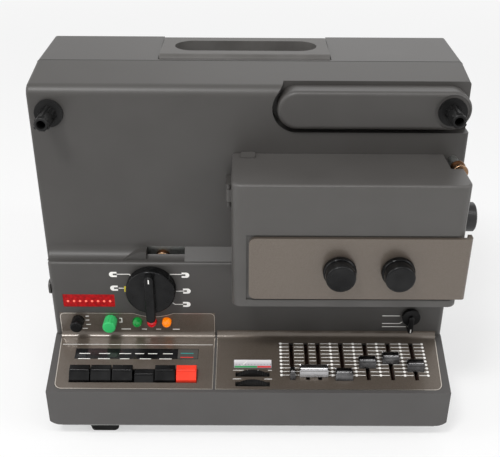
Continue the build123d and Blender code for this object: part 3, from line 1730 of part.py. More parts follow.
# Control board behind the face, with the parts that the knobs and buttons turn and press
with BuildPart() as control_board:
    board_y = (control_board_y, control_board_y + board_thickness)
    add(block(control_board_span, board_y, control_board_rows))
    switch_y = (inner_control_y + 1, control_board_y)
    shaft_hole_y = (inner_control_y, control_board_y - 1)
    for x, z, radius in (
        (mode_x, mode_z, switch_radius),
        (fade_x, small_knob_z, pot_radius),
        (green_x, small_knob_z, pot_radius),
    ):
        add(bar_y(x, z, radius, switch_y))
        add(bar_y(x, z, shaft_radius + running_gap, shaft_hole_y), mode=Mode.SUBTRACT)
    for x in button_x:
        press_y = inner_control_y + part_gap + 3 * button_travel + part_gap
        half = button_radius
        add(block((x - half, x + half), (press_y, control_board_y), (button_z - half, button_z + half)))
    add(
        block(
            (display_x - display_size[0] / 2, display_x + display_size[0] / 2),
            (inner_control_y + window_flange / 2, control_board_y),
            (display_z - display_size[1] / 2, display_z + display_size[1] / 2),
        )
    )
    for x in (control_board_span[0] + 2 * post_radius, control_board_span[1] - 2 * post_radius):
        for z in (control_board_rows[0] + 2 * post_radius, control_board_rows[1] - 2 * post_radius):
            add(bar_y(x, z, post_radius, (inner_control_y, control_board_y)))

# Console keys: sloped cap, skirt and stem; one of them is latched down
keys = {}
for index, name in enumerate(key_names):
    sunk = -key_travel if name == latched_key else 0
    middle_x = key_first_x + index * key_pitch
    half = (key_pitch - key_gap) / 2
    with BuildPart() as key:
        with BuildSketch(deck_side(middle_x - half)):
            with BuildLine():
                Polyline(
                    (key_back, sunk - key_skirt),
                    (key_back, sunk + key_rise),
                    (key_ridge, sunk + key_rise),
                    (key_front, sunk + key_lip),
                    (key_front, sunk - key_skirt),
                    close=True,
                )
            make_face()
        extrude(amount=2 * half)
        top = key.faces().filter_by(lambda face: face.normal_at().Z > 0.5).edges()
        fillet(top, radius=key_edge_radius)
        stem = key_stem / 2
        add(
            deck_block(
                (middle_x - stem, middle_x + stem),
                (keys_middle - stem, keys_middle + stem),
                (sunk - key_skirt - key_stem_length, sunk - key_skirt + 1),
            )
        )
    keys[name] = key

# Slide caps with a dished top, each on a stem in its slot
sliders = {}
for name, places, row, width in (
    ("trim_slider", (trim_x,), trim_set, trim_cap_width),
    ("mix_slider", mix_x, mix_set, mix_cap_width),
    ("manual_slider", (manual_x,), manual_set, cap_width),
    ("tone_slider", (tone_x,), tone_set, cap_width),
    ("balance_slider", (balance_x,), balance_set, cap_width),
    ("volume_slider", (volume_x,), volume_set, cap_width),
):
    middle_x = sum(places) / len(places)
    with BuildPart() as slider:
        with BuildSketch(deck_side(middle_x - width / 2)):
            with BuildLine():
                low = panel_proud + part_gap
                Polyline(
                    (row + cap_crown / 2, cap_height),
                    (row + cap_depth / 2, low),
                    (row - cap_depth / 2, low),
                    (row - cap_crown / 2, cap_height),
                )
                ThreePointArc(
                    (row - cap_crown / 2, cap_height),
                    (row, cap_height - cap_dip),
                    (row + cap_crown / 2, cap_height),
                )
            make_face()
        extrude(amount=width)
        for x in places:
            add(
                deck_block(
                    (x - stem_width / 2, x + stem_width / 2),
                    (row - stem_depth / 2, row + stem_depth / 2),
                    (-stem_length, low + 1),
                )
            )
    sliders[name] = slider

# Thumb wheels that stand on edge below the console and show through slots
wheels = {}
for name, row in zip(wheel_names, wheel_rows):
    with BuildPart() as wheel:
        centre = deck.from_local_coords(Vector(wheel_x, row - wheel_width / 2, -wheel_depth))
        wheel_plane = Plane(origin=centre, x_dir=(1, 0, 0), z_dir=deck.y_dir)
        with BuildSketch(wheel_plane):
            Circle(wheel_radius)
            with PolarLocations(wheel_radius + wheel_groove / 2, wheel_grooves):
                Circle(wheel_groove, mode=Mode.SUBTRACT)
        extrude(amount=wheel_width)
        with BuildSketch(wheel_plane.offset(wheel_width / 2)):
            Circle(wheel_axle_radius)
        extrude(amount=wheel_width / 2 + wheel_ear_gap + wheel_ear[1], both=True)
    wheels[name] = wheel

# Console board below the slope, with the slide controls, the key bank and the wheel ears
with BuildPart() as console_board:
    add(deck_block(board_span, board_rows, (-board_depth - board_thickness, -board_depth)))
    for x, row in board_posts:
        add(deck_bar(x, row, post_radius, (-board_depth, -casing_wall)))
    bank_x = (keys_middle_x - keys_width / 2, keys_middle_x + keys_width / 2)
    bank_rows = (key_front - key_gap, key_back + key_gap)
    add(deck_block(bank_x, bank_rows, (-board_depth, key_bank_height - board_depth)))
    for index in range(key_count):
        middle_x = key_first_x + index * key_pitch
        hole = key_stem / 2 + part_gap / 2
        add(
            deck_block(
                (middle_x - hole, middle_x + hole),
                (keys_middle - hole, keys_middle + hole),
                (-2 * board_depth, 0),
            ),
            mode=Mode.SUBTRACT,
        )
    for x in slide_places:
        half = pot_width / 2
        rows = (slot_bottom - half, slot_top + half)
        add(deck_block((x - half, x + half), rows, (-board_depth, pot_height - board_depth)))
    for x in slide_places:
        half = pot_slit / 2
        add(
            deck_block((x - half, x + half), (slot_bottom, slot_top), (-stem_length - 1, 0)),
            mode=Mode.SUBTRACT,
        )
    for row in wheel_rows:
        half = wheel_width / 2 + wheel_ear_gap
        reach = wheel_radius + wheel_ear_gap
        for near, far in ((row + half, row + half + wheel_ear[1]), (row - half - wheel_ear[1], row - half)):
            top = 2 * wheel_axle_radius - wheel_depth
            ear_x = (wheel_x - wheel_ear[0] / 2, wheel_x + wheel_ear[0] / 2)
            add(deck_block(ear_x, (near, far), (-board_depth, top)))
        add(
            deck_block(
                (wheel_x - reach, wheel_x + reach),
                (row - half, row + half),
                (-2 * board_depth, -casing_wall),
            ),
            mode=Mode.SUBTRACT,
        )
    for row in wheel_rows:
        centre = deck.from_local_coords(Vector(wheel_x, row, -wheel_depth))
        with BuildSketch(Plane(origin=centre, x_dir=(1, 0, 0), z_dir=deck.y_dir)):
            Circle(wheel_axle_radius + running_gap)
        extrude(amount=wheel_width + wheel_ear[1], both=True, mode=Mode.SUBTRACT)
    for x, y in boss_front:
        add(
            bar_z(x, y, boss_radius + 2 * part_gap, (tray_z, fold_z)),
            mode=Mode.SUBTRACT,
        )

# One file for each piece, named as in the record
pieces = {
    "base_tray": base_tray,
    "bottom_pan": bottom_pan,
    "fixed_feet": fixed_feet,
    "levelling_foot": levelling_foot,
    "front_casing": front_casing,
    "rear_cover": rear_cover,
    "left_panel": left_panel,
    "right_panel": right_panel,
    "lens_cover": lens_cover,
    "focus_panel": focus_panel,
    "indicator_window": indicator_window,
    "display_window": display_window,
    "level_meter": level_meter,
    "carry_handle": carry_handle,
    "chassis_plate": chassis_plate,
    "lens_holder": lens_holder,
    "lens": lens,
    "film_gate": film_gate,
    "shutter": shutter,
    "projection_lamp": projection_lamp,
    "feed_sprocket": feed_sprocket,
    "sound_head": sound_head,
    "flywheel": flywheel,
    "inlet_roller": inlet_roller,
    "outlet_roller": outlet_roller,
    "motor": motor,
    "motor_rotor": motor_rotor,
    "belts": belts,
    "transformer": transformer,
    "control_board": control_board,
    "console_board": console_board,
    "speaker": speaker,
    "socket_panel": socket_panel,
    "casing_screws": casing_screws,
    "spool_arm": spool_arm,
    "supply_spindle": supply_spindle,
    "takeup_spindle": takeup_spindle,
    "mode_knob": mode_knob,
    "fade_knob": fade_knob,
    "green_knob": green_knob,
    "speed_lever": speed_lever,
    "framer_knob": framer_knob,
    "focus_knob": focus_knob,
    **buttons,
    **keys,
    **sliders,
    **wheels,
}

for name, piece in pieces.items():
    piece.part.label = name
    export_step(piece.part, f"parts/{name}.step")
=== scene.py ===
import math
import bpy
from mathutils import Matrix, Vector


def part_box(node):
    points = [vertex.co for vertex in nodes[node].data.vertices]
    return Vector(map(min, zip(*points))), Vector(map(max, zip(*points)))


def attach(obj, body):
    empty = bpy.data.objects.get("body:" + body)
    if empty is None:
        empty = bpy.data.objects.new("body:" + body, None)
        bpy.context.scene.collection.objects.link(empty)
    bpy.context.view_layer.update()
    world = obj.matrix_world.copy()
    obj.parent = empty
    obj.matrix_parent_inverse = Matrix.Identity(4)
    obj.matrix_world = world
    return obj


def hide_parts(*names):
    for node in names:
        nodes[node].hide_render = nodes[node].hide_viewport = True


bl_info = {
    "name": "Movie projector",
    "version": (1, 0, 0),
    "blender": (4, 5, 0),
    "location": "3D View > Sidebar > Projector",
    "description": "Dresses a table-top sound film projector with its finishes, prints and small parts",
    "category": "Add Mesh",
}

import bmesh
import bpy
from bpy.props import FloatProperty, FloatVectorProperty, IntProperty, PointerProperty
from mathutils import Matrix, Vector
from mathutils.geometry import convex_hull_2d

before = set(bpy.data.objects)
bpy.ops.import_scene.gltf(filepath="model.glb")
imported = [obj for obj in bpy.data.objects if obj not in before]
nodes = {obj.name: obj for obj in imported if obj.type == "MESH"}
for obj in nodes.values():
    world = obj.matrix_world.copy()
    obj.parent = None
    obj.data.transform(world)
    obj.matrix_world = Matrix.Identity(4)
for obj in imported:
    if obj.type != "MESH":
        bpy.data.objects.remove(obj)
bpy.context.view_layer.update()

MM = 0.001
PRINT_GAP = 0.02
PRINT_THICKNESS = 0.06
DISPLAY_RECESS = 0.6
PANEL_PROUD = 0.2
CONSOLE_EDGE_Z = 56.7
MODE_RADIUS = 23.5
# A point this near to a plane lies in it, and a rim's points are more than a step apart
PLANE_REACH = 0.05
RIM_STEP = 0.4
# Height over which the meter card fades, below its top
CARD_FADE = 2.6


# Places taken from the model in millimetres, so that each piece sits on its carrier
def low(node):
    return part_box(node)[0] / MM


def high(node):
    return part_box(node)[1] / MM


def middle(node):
    return (low(node) + high(node)) / 2


control_y = low("display_window").y - DISPLAY_RECESS
fold_z = high("base_tray").z
console_front_y = low("base_tray").y
console_slope = math.atan2(fold_z - CONSOLE_EDGE_Z, control_y - console_front_y)


# Frames whose X runs to the right, Y up the surface and Z out of it
def face_frame(y):
    turn = Matrix(((1, 0, 0, 0), (0, 0, -1, y), (0, 1, 0, 0), (0, 0, 0, 1)))
    return Matrix.Scale(MM, 4) @ turn


def deck_frame(out):
    sine, cosine = math.sin(console_slope), math.cos(console_slope)
    turn = Matrix(
        (
            (1, 0, 0, 0),
            (0, cosine, -sine, control_y - out * sine),
            (0, sine, cosine, fold_z + out * cosine),
            (0, 0, 0, 1),
        )
    )
    return Matrix.Scale(MM, 4) @ turn


def points_in(node, plane):
    """A node's points along a plane's own directions."""
    turn = plane.inverted()
    return [turn @ vertex.co for vertex in nodes[node].data.vertices]


def face_points(node, plane):
    """The points of a node that lie in a plane."""
    return [point.to_2d() for point in points_in(node, plane) if abs(point.z) < PLANE_REACH]


def on_deck(node):
    """Low and high corners of a node's part above the deck, along the deck's directions."""
    raised = [point for point in points_in(node, deck_frame(0)) if point.z > PANEL_PROUD / 2]
    return [Vector([pick(p[i] for p in raised) for i in range(3)]) for pick in (min, max)]


def hull_loop(points, rating):
    """The points' outline, counter-clockwise from the one rated highest, and its centre."""
    hull = [points[i] for i in convex_hull_2d(points)]
    if sum(a.cross(b) for a, b in zip(hull, hull[1:] + hull[:1])) < 0:
        hull.reverse()
    start = hull.index(max(hull, key=rating))
    return hull[start:] + hull[:start], sum(hull, Vector((0, 0))) / len(hull)


def rim_line(node, plane, inset):
    """Outline of a node's face, set in from its edge, from its upper left corner round."""
    rim, centre = hull_loop(face_points(node, plane), lambda point: point.y - 0.01 * point.x)
    kept = [rim[0]]
    for point in rim[1:]:
        if (point - kept[-1]).length > RIM_STEP:
            kept.append(point)
    return [point + (centre - point).normalized() * inset for point in kept]


def axis_x_frame(x, y, z):
    """Z of the frame points to the right, for parts turned about the lens axis."""
    turn = Matrix(((0, 0, 1, x), (1, 0, 0, y), (0, 1, 0, z), (0, 0, 0, 1)))
    return Matrix.Scale(MM, 4) @ turn


def axis_y_frame(x, y, z):
    """Z of the frame points out of the front, for knobs and rollers."""
    return face_frame(y) @ Matrix.Translation((x, z, 0))


# Colours: a hex value as it is seen, turned to linear light
def linear(code):
    channels = [int(code[i : i + 2], 16) / 255 for i in (1, 3, 5)]
    return [c / 12.92 if c <= 0.04045 else ((c + 0.055) / 1.055) ** 2.4 for c in channels] + [1.0]


# Node helper: one node with its settings, values and links
def add_node(tree, kind, settings=None, inputs=None):
    node = tree.nodes.new(kind)
    for name, value in (settings or {}).items():
        setattr(node, name, value)
    for name, value in (inputs or {}).items():
        socket = node.inputs[name]
        if isinstance(value, bpy.types.NodeSocket):
            tree.links.new(value, socket)
        else:
            socket.default_value = value
    return node


# Start of a material: a shader with uniform values on its own sockets
def start_material(name, colour, **values):
    material = bpy.data.materials.new(name)
    material.use_nodes = True
    tree = material.node_tree
    tree.nodes.clear()
    shader = add_node(tree, "ShaderNodeBsdfPrincipled", inputs={"Base Color": colour})
    for socket, value in values.items():
        shader.inputs[socket.replace("_", " ")].default_value = value
    output = add_node(tree, "ShaderNodeOutputMaterial")
    tree.links.new(shader.outputs["BSDF"], output.inputs["Surface"])
    place = add_node(tree, "ShaderNodeTexCoord").outputs["Object"]
    return material, tree, shader, place


def grain(tree, place, size, stretch=(1, 1, 1), detail=2.0, roughness=0.5):
    """Noise whose lumps are about `size` millimetres across."""
    scaled = add_node(tree, "ShaderNodeMapping", inputs={"Vector": place, "Scale": stretch})
    values = {
        "Vector": scaled.outputs["Vector"],
        "Scale": 1 / (size * MM),
        "Detail": detail,
        "Roughness": roughness,
    }
    return add_node(tree, "ShaderNodeTexNoise", inputs=values).outputs["Fac"]


def relief(tree, shader, height, depth, strength=1.0):
    """Bump `depth` millimetres deep."""
    values = {"Height": height, "Distance": depth * MM, "Strength": strength}
    bump = add_node(tree, "ShaderNodeBump", inputs=values)
    tree.links.new(bump.outputs["Normal"], shader.inputs["Normal"])


def blotch(tree, shader, factor, dark, light, low_stop=0.35, high_stop=0.65):
    """Colour that drifts from dark to light with a pattern."""
    ramp = add_node(tree, "ShaderNodeValToRGB", inputs={"Fac": factor})
    ramp.color_ramp.elements[0].position = low_stop
    ramp.color_ramp.elements[1].position = high_stop
    ramp.color_ramp.elements[0].color = dark
    ramp.color_ramp.elements[1].color = light
    tree.links.new(ramp.outputs["Color"], shader.inputs["Base Color"])


def sheen_drift(tree, shader, factor, smooth, rough):
    """Roughness that drifts between two values with a pattern, as handled surfaces do."""
    values = {"Value": factor, "To Min": smooth, "To Max": rough}
    drift = add_node(tree, "ShaderNodeMapRange", inputs=values)
    tree.links.new(drift.outputs["Result"], shader.inputs["Roughness"])


def mixed(colour, other, share):
    return [a + (b - a) * share for a, b in zip(colour[:3], other[:3])] + [1.0]


WHITE = linear("#ffffff")
BLACK = linear("#000000")


# Moulded plastic or metal under a fine textured paint
def textured_paint(name, colour, roughness=0.44):
    material, tree, shader, place = start_material(
        name, colour, Roughness=roughness, Specular_IOR_Level=0.45
    )
    # Spray texture of about 0.7 mm, drawn a little coarser than real so that it shows
    fine = grain(tree, place, 0.7, detail=3.0)
    broad = grain(tree, place, 45.0)
    blotch(tree, shader, broad, mixed(colour, BLACK, 0.03), mixed(colour, WHITE, 0.004))
    sheen_drift(tree, shader, broad, roughness - 0.03, roughness + 0.03)
    relief(tree, shader, fine, 0.05, 0.6)
    return material


# Metallic lacquer: fine flakes that catch the light on a smooth sheet
def metallic_lacquer(name, colour):
    material, tree, shader, place = start_material(
        name, colour, Metallic=0.42, Roughness=0.34, Coat_Weight=0.45, Coat_Roughness=0.14
    )
    # Flakes of about 0.35 mm give a sparkle that fades into an even tone
    flakes = grain(tree, place, 0.35, detail=1.0)
    blotch(tree, shader, flakes, mixed(colour, BLACK, 0.14), mixed(colour, WHITE, 0.05))
    relief(tree, shader, grain(tree, place, 8.0), 0.02, 0.4)
    return material


# Injection-moulded plastic, from satin to gloss
def moulded_plastic(name, colour, roughness, texture, coat=0.0):
    material, tree, shader, place = start_material(
        name,
        colour,
        Roughness=roughness,
        Specular_IOR_Level=0.14,
        Coat_Weight=coat,
        Coat_Roughness=0.08,
    )
    # Spark-eroded mould texture, and finger wear that changes the sheen over 20 mm
    wear = grain(tree, place, 20.0)
    blotch(tree, shader, wear, mixed(colour, BLACK, 0.1), mixed(colour, WHITE, 0.008))
    sheen_drift(tree, shader, wear, roughness * 0.85, roughness * 1.2)
    if texture:
        relief(tree, shader, grain(tree, place, texture), 0.03, 0.5)
    return material


# Tinted acrylic with a glow of its own: the emission is painted light, standing in for the light that
# enters and scatters inside
def tinted_acrylic(name, colour):
    material, tree, shader, place = start_material(
        name,
        colour,
        Roughness=0.12,
        IOR=1.49,
        Transmission_Weight=0.2,
        Coat_Weight=0.3,
        Coat_Roughness=0.05,
        # Painted light: the acrylic glows in its own colour, brighter than the light falling on it
        # makes it
        Emission_Color=colour,
        Emission_Strength=0.42,
    )
    blotch(tree, shader, grain(tree, place, 2.5), mixed(colour, BLACK, 0.45), colour)
    return material


# Drawn, turned or brushed metal with fine lines along one direction
def brushed_metal(name, colour, roughness, lines, stretch):
    material, tree, shader, place = start_material(
        name, colour, Metallic=1.0, Roughness=roughness
    )
    marks = grain(tree, place, lines, stretch, detail=3.0, roughness=0.6)
    blotch(tree, shader, marks, mixed(colour, BLACK, 0.2), mixed(colour, WHITE, 0.1))
    sheen_drift(tree, shader, marks, roughness * 0.8, roughness * 1.25)
    relief(tree, shader, marks, 0.02, 0.4)
    return material


def screen_ink(name, colour):
    material, tree, shader, place = start_material(name, colour, Roughness=0.55)
    # Screen-print ink lies a little uneven, which shows as a faint change of tone
    blotch(tree, shader, grain(tree, place, 1.5), mixed(colour, BLACK, 0.06), colour)
    return material


def lit_window(name, colour):
    """Red acrylic with the lamps' glow spread through it, in soft patches 3 mm across."""
    material, tree, shader, place = start_material(
        name,
        colour,
        Roughness=0.3,
        Specular_IOR_Level=0.15,
        Emission_Color=linear("#f01018"),
        Emission_Strength=0.24,
    )
    blotch(tree, shader, grain(tree, place, 3.0), mixed(colour, BLACK, 0.8), colour)
    return material


def lit_lamp(name, colour):
    """A lamp behind red acrylic: it gives a little light of its own."""
    material, tree, shader, place = start_material(
        name, colour, Roughness=0.3, Emission_Color=colour, Emission_Strength=0.6
    )
    blotch(tree, shader, grain(tree, place, 1.0), mixed(colour, BLACK, 0.15), colour)
    return material


def meter_card(name):
    """Printed card behind a clear window: pale at its top and darker towards the scale."""
    material, tree, shader, place = start_material(
        name, linear("#b9b2bd"), Roughness=0.35, Coat_Weight=0.8, Coat_Roughness=0.06
    )
    rows = add_node(tree, "ShaderNodeSeparateXYZ", inputs={"Vector": place}).outputs["Z"]
    top = high("level_meter").z
    values = {"Value": rows, "From Min": (top - CARD_FADE) * MM, "From Max": top * MM}
    fade = add_node(tree, "ShaderNodeMapRange", inputs=values)
    blotch(tree, shader, fade.outputs["Result"], linear("#8d8592"), linear("#e6e3e4"), 0.1, 0.9)
    return material


def coated_glass(name):
    """Lens glass over a dark barrel, with the faint violet of its coating."""
    material, tree, shader, place = start_material(
        name,
        linear("#120f1c"),
        Roughness=0.04,
        Coat_Weight=1.0,
        Coat_Roughness=0.02,
        Coat_Tint=linear("#b9a8e8"),
    )
    blotch(tree, shader, grain(tree, place, 9.0), linear("#0b0a12"), linear("#1a1530"))
    return material


def build_materials(tones):
    """Every finish of the projector, named for what the real one is."""
    return {
        "casing": textured_paint("Textured paint on moulded casing", tones.casing),
        "cover": textured_paint("Textured paint on lens cover", tones.cover, 0.4),
        "panel": metallic_lacquer("Metallic lacquer on bent aluminium", tones.panel),
        "apron": textured_paint("Satin paint on base tray", tones.apron, 0.42),
        "handle": moulded_plastic("Grained ABS of handle", linear("#5a5856"), 0.42, 0.8),
        "gloss": moulded_plastic("Polished black ABS", tones.knobs, 0.2, 0, 0.05),
        "satin": moulded_plastic("Satin black ABS", linear("#161616"), 0.36, 0.5),
        "caps": brushed_metal("Black chrome", linear("#434243"), 0.2, 15.0, (1, 1, 1)),
        "green": moulded_plastic("Moulded green ABS", tones.green, 0.32, 0.5, 0.2),
        "red": moulded_plastic("Moulded red ABS", tones.record, 0.3, 0.5, 0.2),
        "grey": moulded_plastic("Grey glass-filled nylon", linear("#5b5a58"), 0.55, 0.6),
        "clear_green": tinted_acrylic("Green acrylic", linear("#0a8436")),
        "clear_red": tinted_acrylic("Red acrylic", linear("#c00a18")),
        "clear_amber": tinted_acrylic("Amber acrylic", linear("#fb8c06")),
        "display": lit_window("Red acrylic window", linear("#8c060c")),
        "strip": moulded_plastic("Black acrylic strip", linear("#141415"), 0.16, 0, 0.4),
        "steel": brushed_metal("Brushed steel", linear("#b9b9ba"), 0.34, 0.8, (0.05, 1, 1)),
        "zinc": brushed_metal("Zinc-plated steel", linear("#a7a9a6"), 0.42, 2.5, (1, 1, 1)),
        "aluminium": brushed_metal(
            "Polished aluminium", linear("#dcdcdd"), 0.22, 0.6, (1, 0.08, 1)
        ),
        "chrome": brushed_metal("Dark chrome", linear("#a9a8aa"), 0.18, 15.0, (1, 1, 1)),
        "brass": brushed_metal("Turned brass", linear("#7d5b38"), 0.34, 0.5, (1, 6, 1)),
        "rubber": moulded_plastic("Nitrile rubber", linear("#1b1b1b"), 0.8, 1.2),
        "lens_barrel": textured_paint("Black anodised aluminium", linear("#161617"), 0.35),
        "board": moulded_plastic("Phenolic board", linear("#33211a"), 0.5, 1.0),
        "ink": screen_ink("White screen-print ink", tones.ink),
        "yellow_ink": screen_ink("Yellow screen-print ink", linear("#d8c62a")),
        "teal_ink": screen_ink("Teal screen-print ink", linear("#2f8f8c")),
        "red_ink": screen_ink("Red screen-print ink", linear("#d8302a")),
        "grey_ink": screen_ink("Grey screen-print ink", linear("#45433f")),
        # Bare cut aluminium of the panels' edges, drawn brighter than the panels as a painted highlight
        # along them
        "bright_edge": brushed_metal(
            "Bare aluminium at panel edge", linear("#d6cec4"), 0.3, 0.8, (1, 1, 1)
        ),
        "green_ink": screen_ink("Green screen-print ink", linear("#2f9a52")),
        "lamps": lit_lamp("Lit segments", linear("#ff6a58")),
        "meter": meter_card("Printed meter card"),
        "glass": coated_glass("Coated lens glass"),
    }


finishes = {}

FINISH_NODES = {
    "apron": "base_tray",
    "zinc": "bottom_pan chassis_plate motor transformer",
    "rubber": "fixed_feet levelling_foot belts",
    "casing": "front_casing rear_cover spool_arm",
    "panel": "left_panel right_panel focus_panel",
    "cover": "lens_cover",
    "strip": "indicator_window",
    "display": "display_window",
    "grey": "level_meter sound_head motor_rotor",
    "handle": "carry_handle",
    "aluminium": "lens_holder projection_lamp",
    "lens_barrel": "lens",
    "steel": "film_gate shutter flywheel casing_screws",
    "satin": "feed_sprocket speaker socket_panel supply_spindle takeup_spindle level_wheel track_wheel",
    "brass": "inlet_roller outlet_roller",
    "board": "control_board console_board",
    "gloss": "mode_knob fade_knob speed_lever framer_knob focus_knob key_1 key_2 key_3 key_4 key_5",
    "green": "green_knob",
    "red": "record_key",
    "clear_green": "green_button",
    "clear_red": "red_button",
    "clear_amber": "amber_button",
    "caps": "trim_slider manual_slider tone_slider balance_slider volume_slider",
    "chrome": "mix_slider",
}
NODE_FINISH = {node: finish for finish, group in FINISH_NODES.items() for node in group.split()}


# Mesh helpers
def finish_piece(name, mesh, finish, body, smooth=False):
    """Makes the mesh a piece with its material that rides on a body of the frame."""
    mesh.materials.clear()
    mesh.materials.append(finishes[finish])
    piece = bpy.data.objects.new(name, mesh)
    bpy.context.scene.collection.objects.link(piece)
    for polygon in mesh.polygons:
        polygon.use_smooth = smooth
        polygon.material_index = 0
    if smooth:
        mesh.set_sharp_from_angle(angle=math.radians(35))
    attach(piece, body)
    return piece


def form_mesh(name, form, matrix):
    form.transform(matrix)
    bmesh.ops.recalc_face_normals(form, faces=form.faces)
    mesh = bpy.data.meshes.new(name)
    form.to_mesh(mesh)
    form.free()
    return mesh


def joined(name, meshes):
    form = bmesh.new()
    for mesh in meshes:
        form.from_mesh(mesh)
        bpy.data.meshes.remove(mesh)
    mesh = bpy.data.meshes.new(name)
    form.to_mesh(mesh)
    form.free()
    return mesh


def plates_mesh(name, outlines, matrix, thickness=PRINT_THICKNESS):
    """Thin closed plates from flat outlines in millimetres."""
    form = bmesh.new()
    for outline in outlines:
        back = [form.verts.new((x, y, 0)) for x, y in outline]
        front = [form.verts.new((x, y, thickness)) for x, y in outline]
        form.faces.new(list(reversed(back)))
        form.faces.new(front)
        count = len(outline)
        for i in range(count):
            j = (i + 1) % count
            form.faces.new((back[i], back[j], front[j], front[i]))
    return form_mesh(name, form, matrix)


def print_piece(name, outlines, matrix, finish, body="casing", thickness=PRINT_THICKNESS):
    """A piece of thin closed plates."""
    return finish_piece(name, plates_mesh(name, outlines, matrix, thickness), finish, body)


def ribbon(points, width):
    """Outline of a line of even width through the points, with mitred corners."""
    points = [Vector(p) for p in points]
    left, right = [], []
    for i, point in enumerate(points):
        before = (point - points[i - 1]).normalized() if i else None
        after = (points[i + 1] - point).normalized() if i + 1 < len(points) else None
        along = ((before or after) + (after or before)).normalized()
        across = Vector((-along.y, along.x))
        reach = width / 2
        if before and after:
            reach /= max(0.4, across.dot(Vector((-before.y, before.x))))
        left.append(tuple(point + across * reach))
        right.append(tuple(point - across * reach))
    return left + right[::-1]


def strip_mesh(name, points, width, matrix, thickness=PRINT_THICKNESS):
    """A closed flat strip of even width through the points."""
    outline = ribbon(points, width)
    form = bmesh.new()
    rings = []
    for i in range(len(points)):
        left, right = outline[i], outline[-1 - i]
        corners = ((left, 0), (right, 0), (right, thickness), (left, thickness))
        rings.append([form.verts.new((*side, level)) for side, level in corners])
    close_rings(form, rings)
    return form_mesh(name, form, matrix)


def close_rings(form, rings):
    """Joins rings of points to a closed form, with a face at each end."""
    sides = len(rings[0])
    for here, there in zip(rings, rings[1:]):
        for i in range(sides):
            j = (i + 1) % sides
            form.faces.new((here[i], here[j], there[j], there[i]))
    form.faces.new(rings[0])
    form.faces.new(rings[-1])


def arc_points(x, y, radius, start, end, steps=12):
    turns = [math.radians(start + (end - start) * i / steps) for i in range(steps + 1)]
    return [(x + radius * math.cos(t), y + radius * math.sin(t)) for t in turns]


def bar(x1, x2, y, width):
    return ribbon([(x1, y), (x2, y)], width)


def bar_rows(rows, width):
    return [bar(left, right, row, width) for row, bars in rows for left, right in bars]


def lines_from(x, z, lines, width):
    """Ribbons along lines whose points are given from a middle."""
    return [ribbon([(x + across, z + up) for across, up in points], width) for points in lines]


def lathe_mesh(name, profile, matrix, segments=72):
    """A turned form from (radius, along) points that start and end on the axis."""
    form = bmesh.new()
    ring_points = [Vector((radius, 0, along)) for radius, along in profile]
    first = [form.verts.new(p) for p in ring_points]
    edges = [form.edges.new((a, b)) for a, b in zip(first, first[1:])]
    bmesh.ops.spin(
        form,
        geom=first + edges,
        cent=(0, 0, 0),
        axis=(0, 0, 1),
        angle=2 * math.pi,
        steps=segments,
        use_duplicate=False,
    )
    bmesh.ops.remove_doubles(form, verts=form.verts, dist=1e-4)
    return form_mesh(name, form, matrix)


# Geometry node trees for what repeats
def start_tree(name, inputs):
    tree = bpy.data.node_groups.new(name, "GeometryNodeTree")
    for label, kind, value in inputs:
        socket = tree.interface.new_socket(label, in_out="INPUT", socket_type=kind)
        if value is not None:
            socket.default_value = value
    tree.interface.new_socket("Material", in_out="INPUT", socket_type="NodeSocketMaterial")
    tree.interface.new_socket("Geometry", in_out="OUTPUT", socket_type="NodeSocketGeometry")
    return tree, tree.nodes.new("NodeGroupInput").outputs


def end_tree(tree, given, instances):
    real = add_node(tree, "GeometryNodeRealizeInstances", inputs={"Geometry": instances})
    values = {"Geometry": real.outputs["Geometry"], "Material": given["Material"]}
    coated = add_node(tree, "GeometryNodeSetMaterial", inputs=values)
    output = tree.nodes.new("NodeGroupOutput")
    tree.links.new(coated.outputs["Geometry"], output.inputs["Geometry"])
    return tree


FLOAT, WHOLE = "NodeSocketFloat", "NodeSocketInt"


def mark_grid_tree():
    """Rows and columns of small flat marks."""
    tree, given = start_tree(
        "Mark grid",
        [
            ("Columns", WHOLE, 2),
            ("Rows", WHOLE, 2),
            ("Width", FLOAT, 10.0),
            ("Height", FLOAT, 10.0),
            ("Sides", WHOLE, 4),
            ("Mark width", FLOAT, 1.0),
            ("Mark height", FLOAT, 1.0),
            ("Thickness", FLOAT, PRINT_THICKNESS),
        ],
    )
    grid = add_node(
        tree,
        "GeometryNodeMeshGrid",
        inputs={
            "Size X": given["Width"],
            "Size Y": given["Height"],
            "Vertices X": given["Columns"],
            "Vertices Y": given["Rows"],
        },
    )
    # A mark is a flat drum, and with four sides and a turn of 45 degrees it is a bar
    drum = add_node(
        tree,
        "GeometryNodeMeshCylinder",
        inputs={"Vertices": given["Sides"], "Radius": math.sqrt(0.5), "Depth": 1.0},
    )
    turned = add_node(
        tree,
        "GeometryNodeTransform",
        inputs={"Geometry": drum.outputs["Mesh"], "Rotation": (0, 0, math.radians(45))},
    )
    scale = add_node(
        tree,
        "ShaderNodeCombineXYZ",
        inputs={"X": given["Mark width"], "Y": given["Mark height"], "Z": given["Thickness"]},
    )
    placed = add_node(
        tree,
        "GeometryNodeInstanceOnPoints",
        inputs={
            "Points": grid.outputs["Mesh"],
            "Instance": turned.outputs["Geometry"],
            "Scale": scale.outputs["Vector"],
        },
    )
    return end_tree(tree, given, placed.outputs["Instances"])


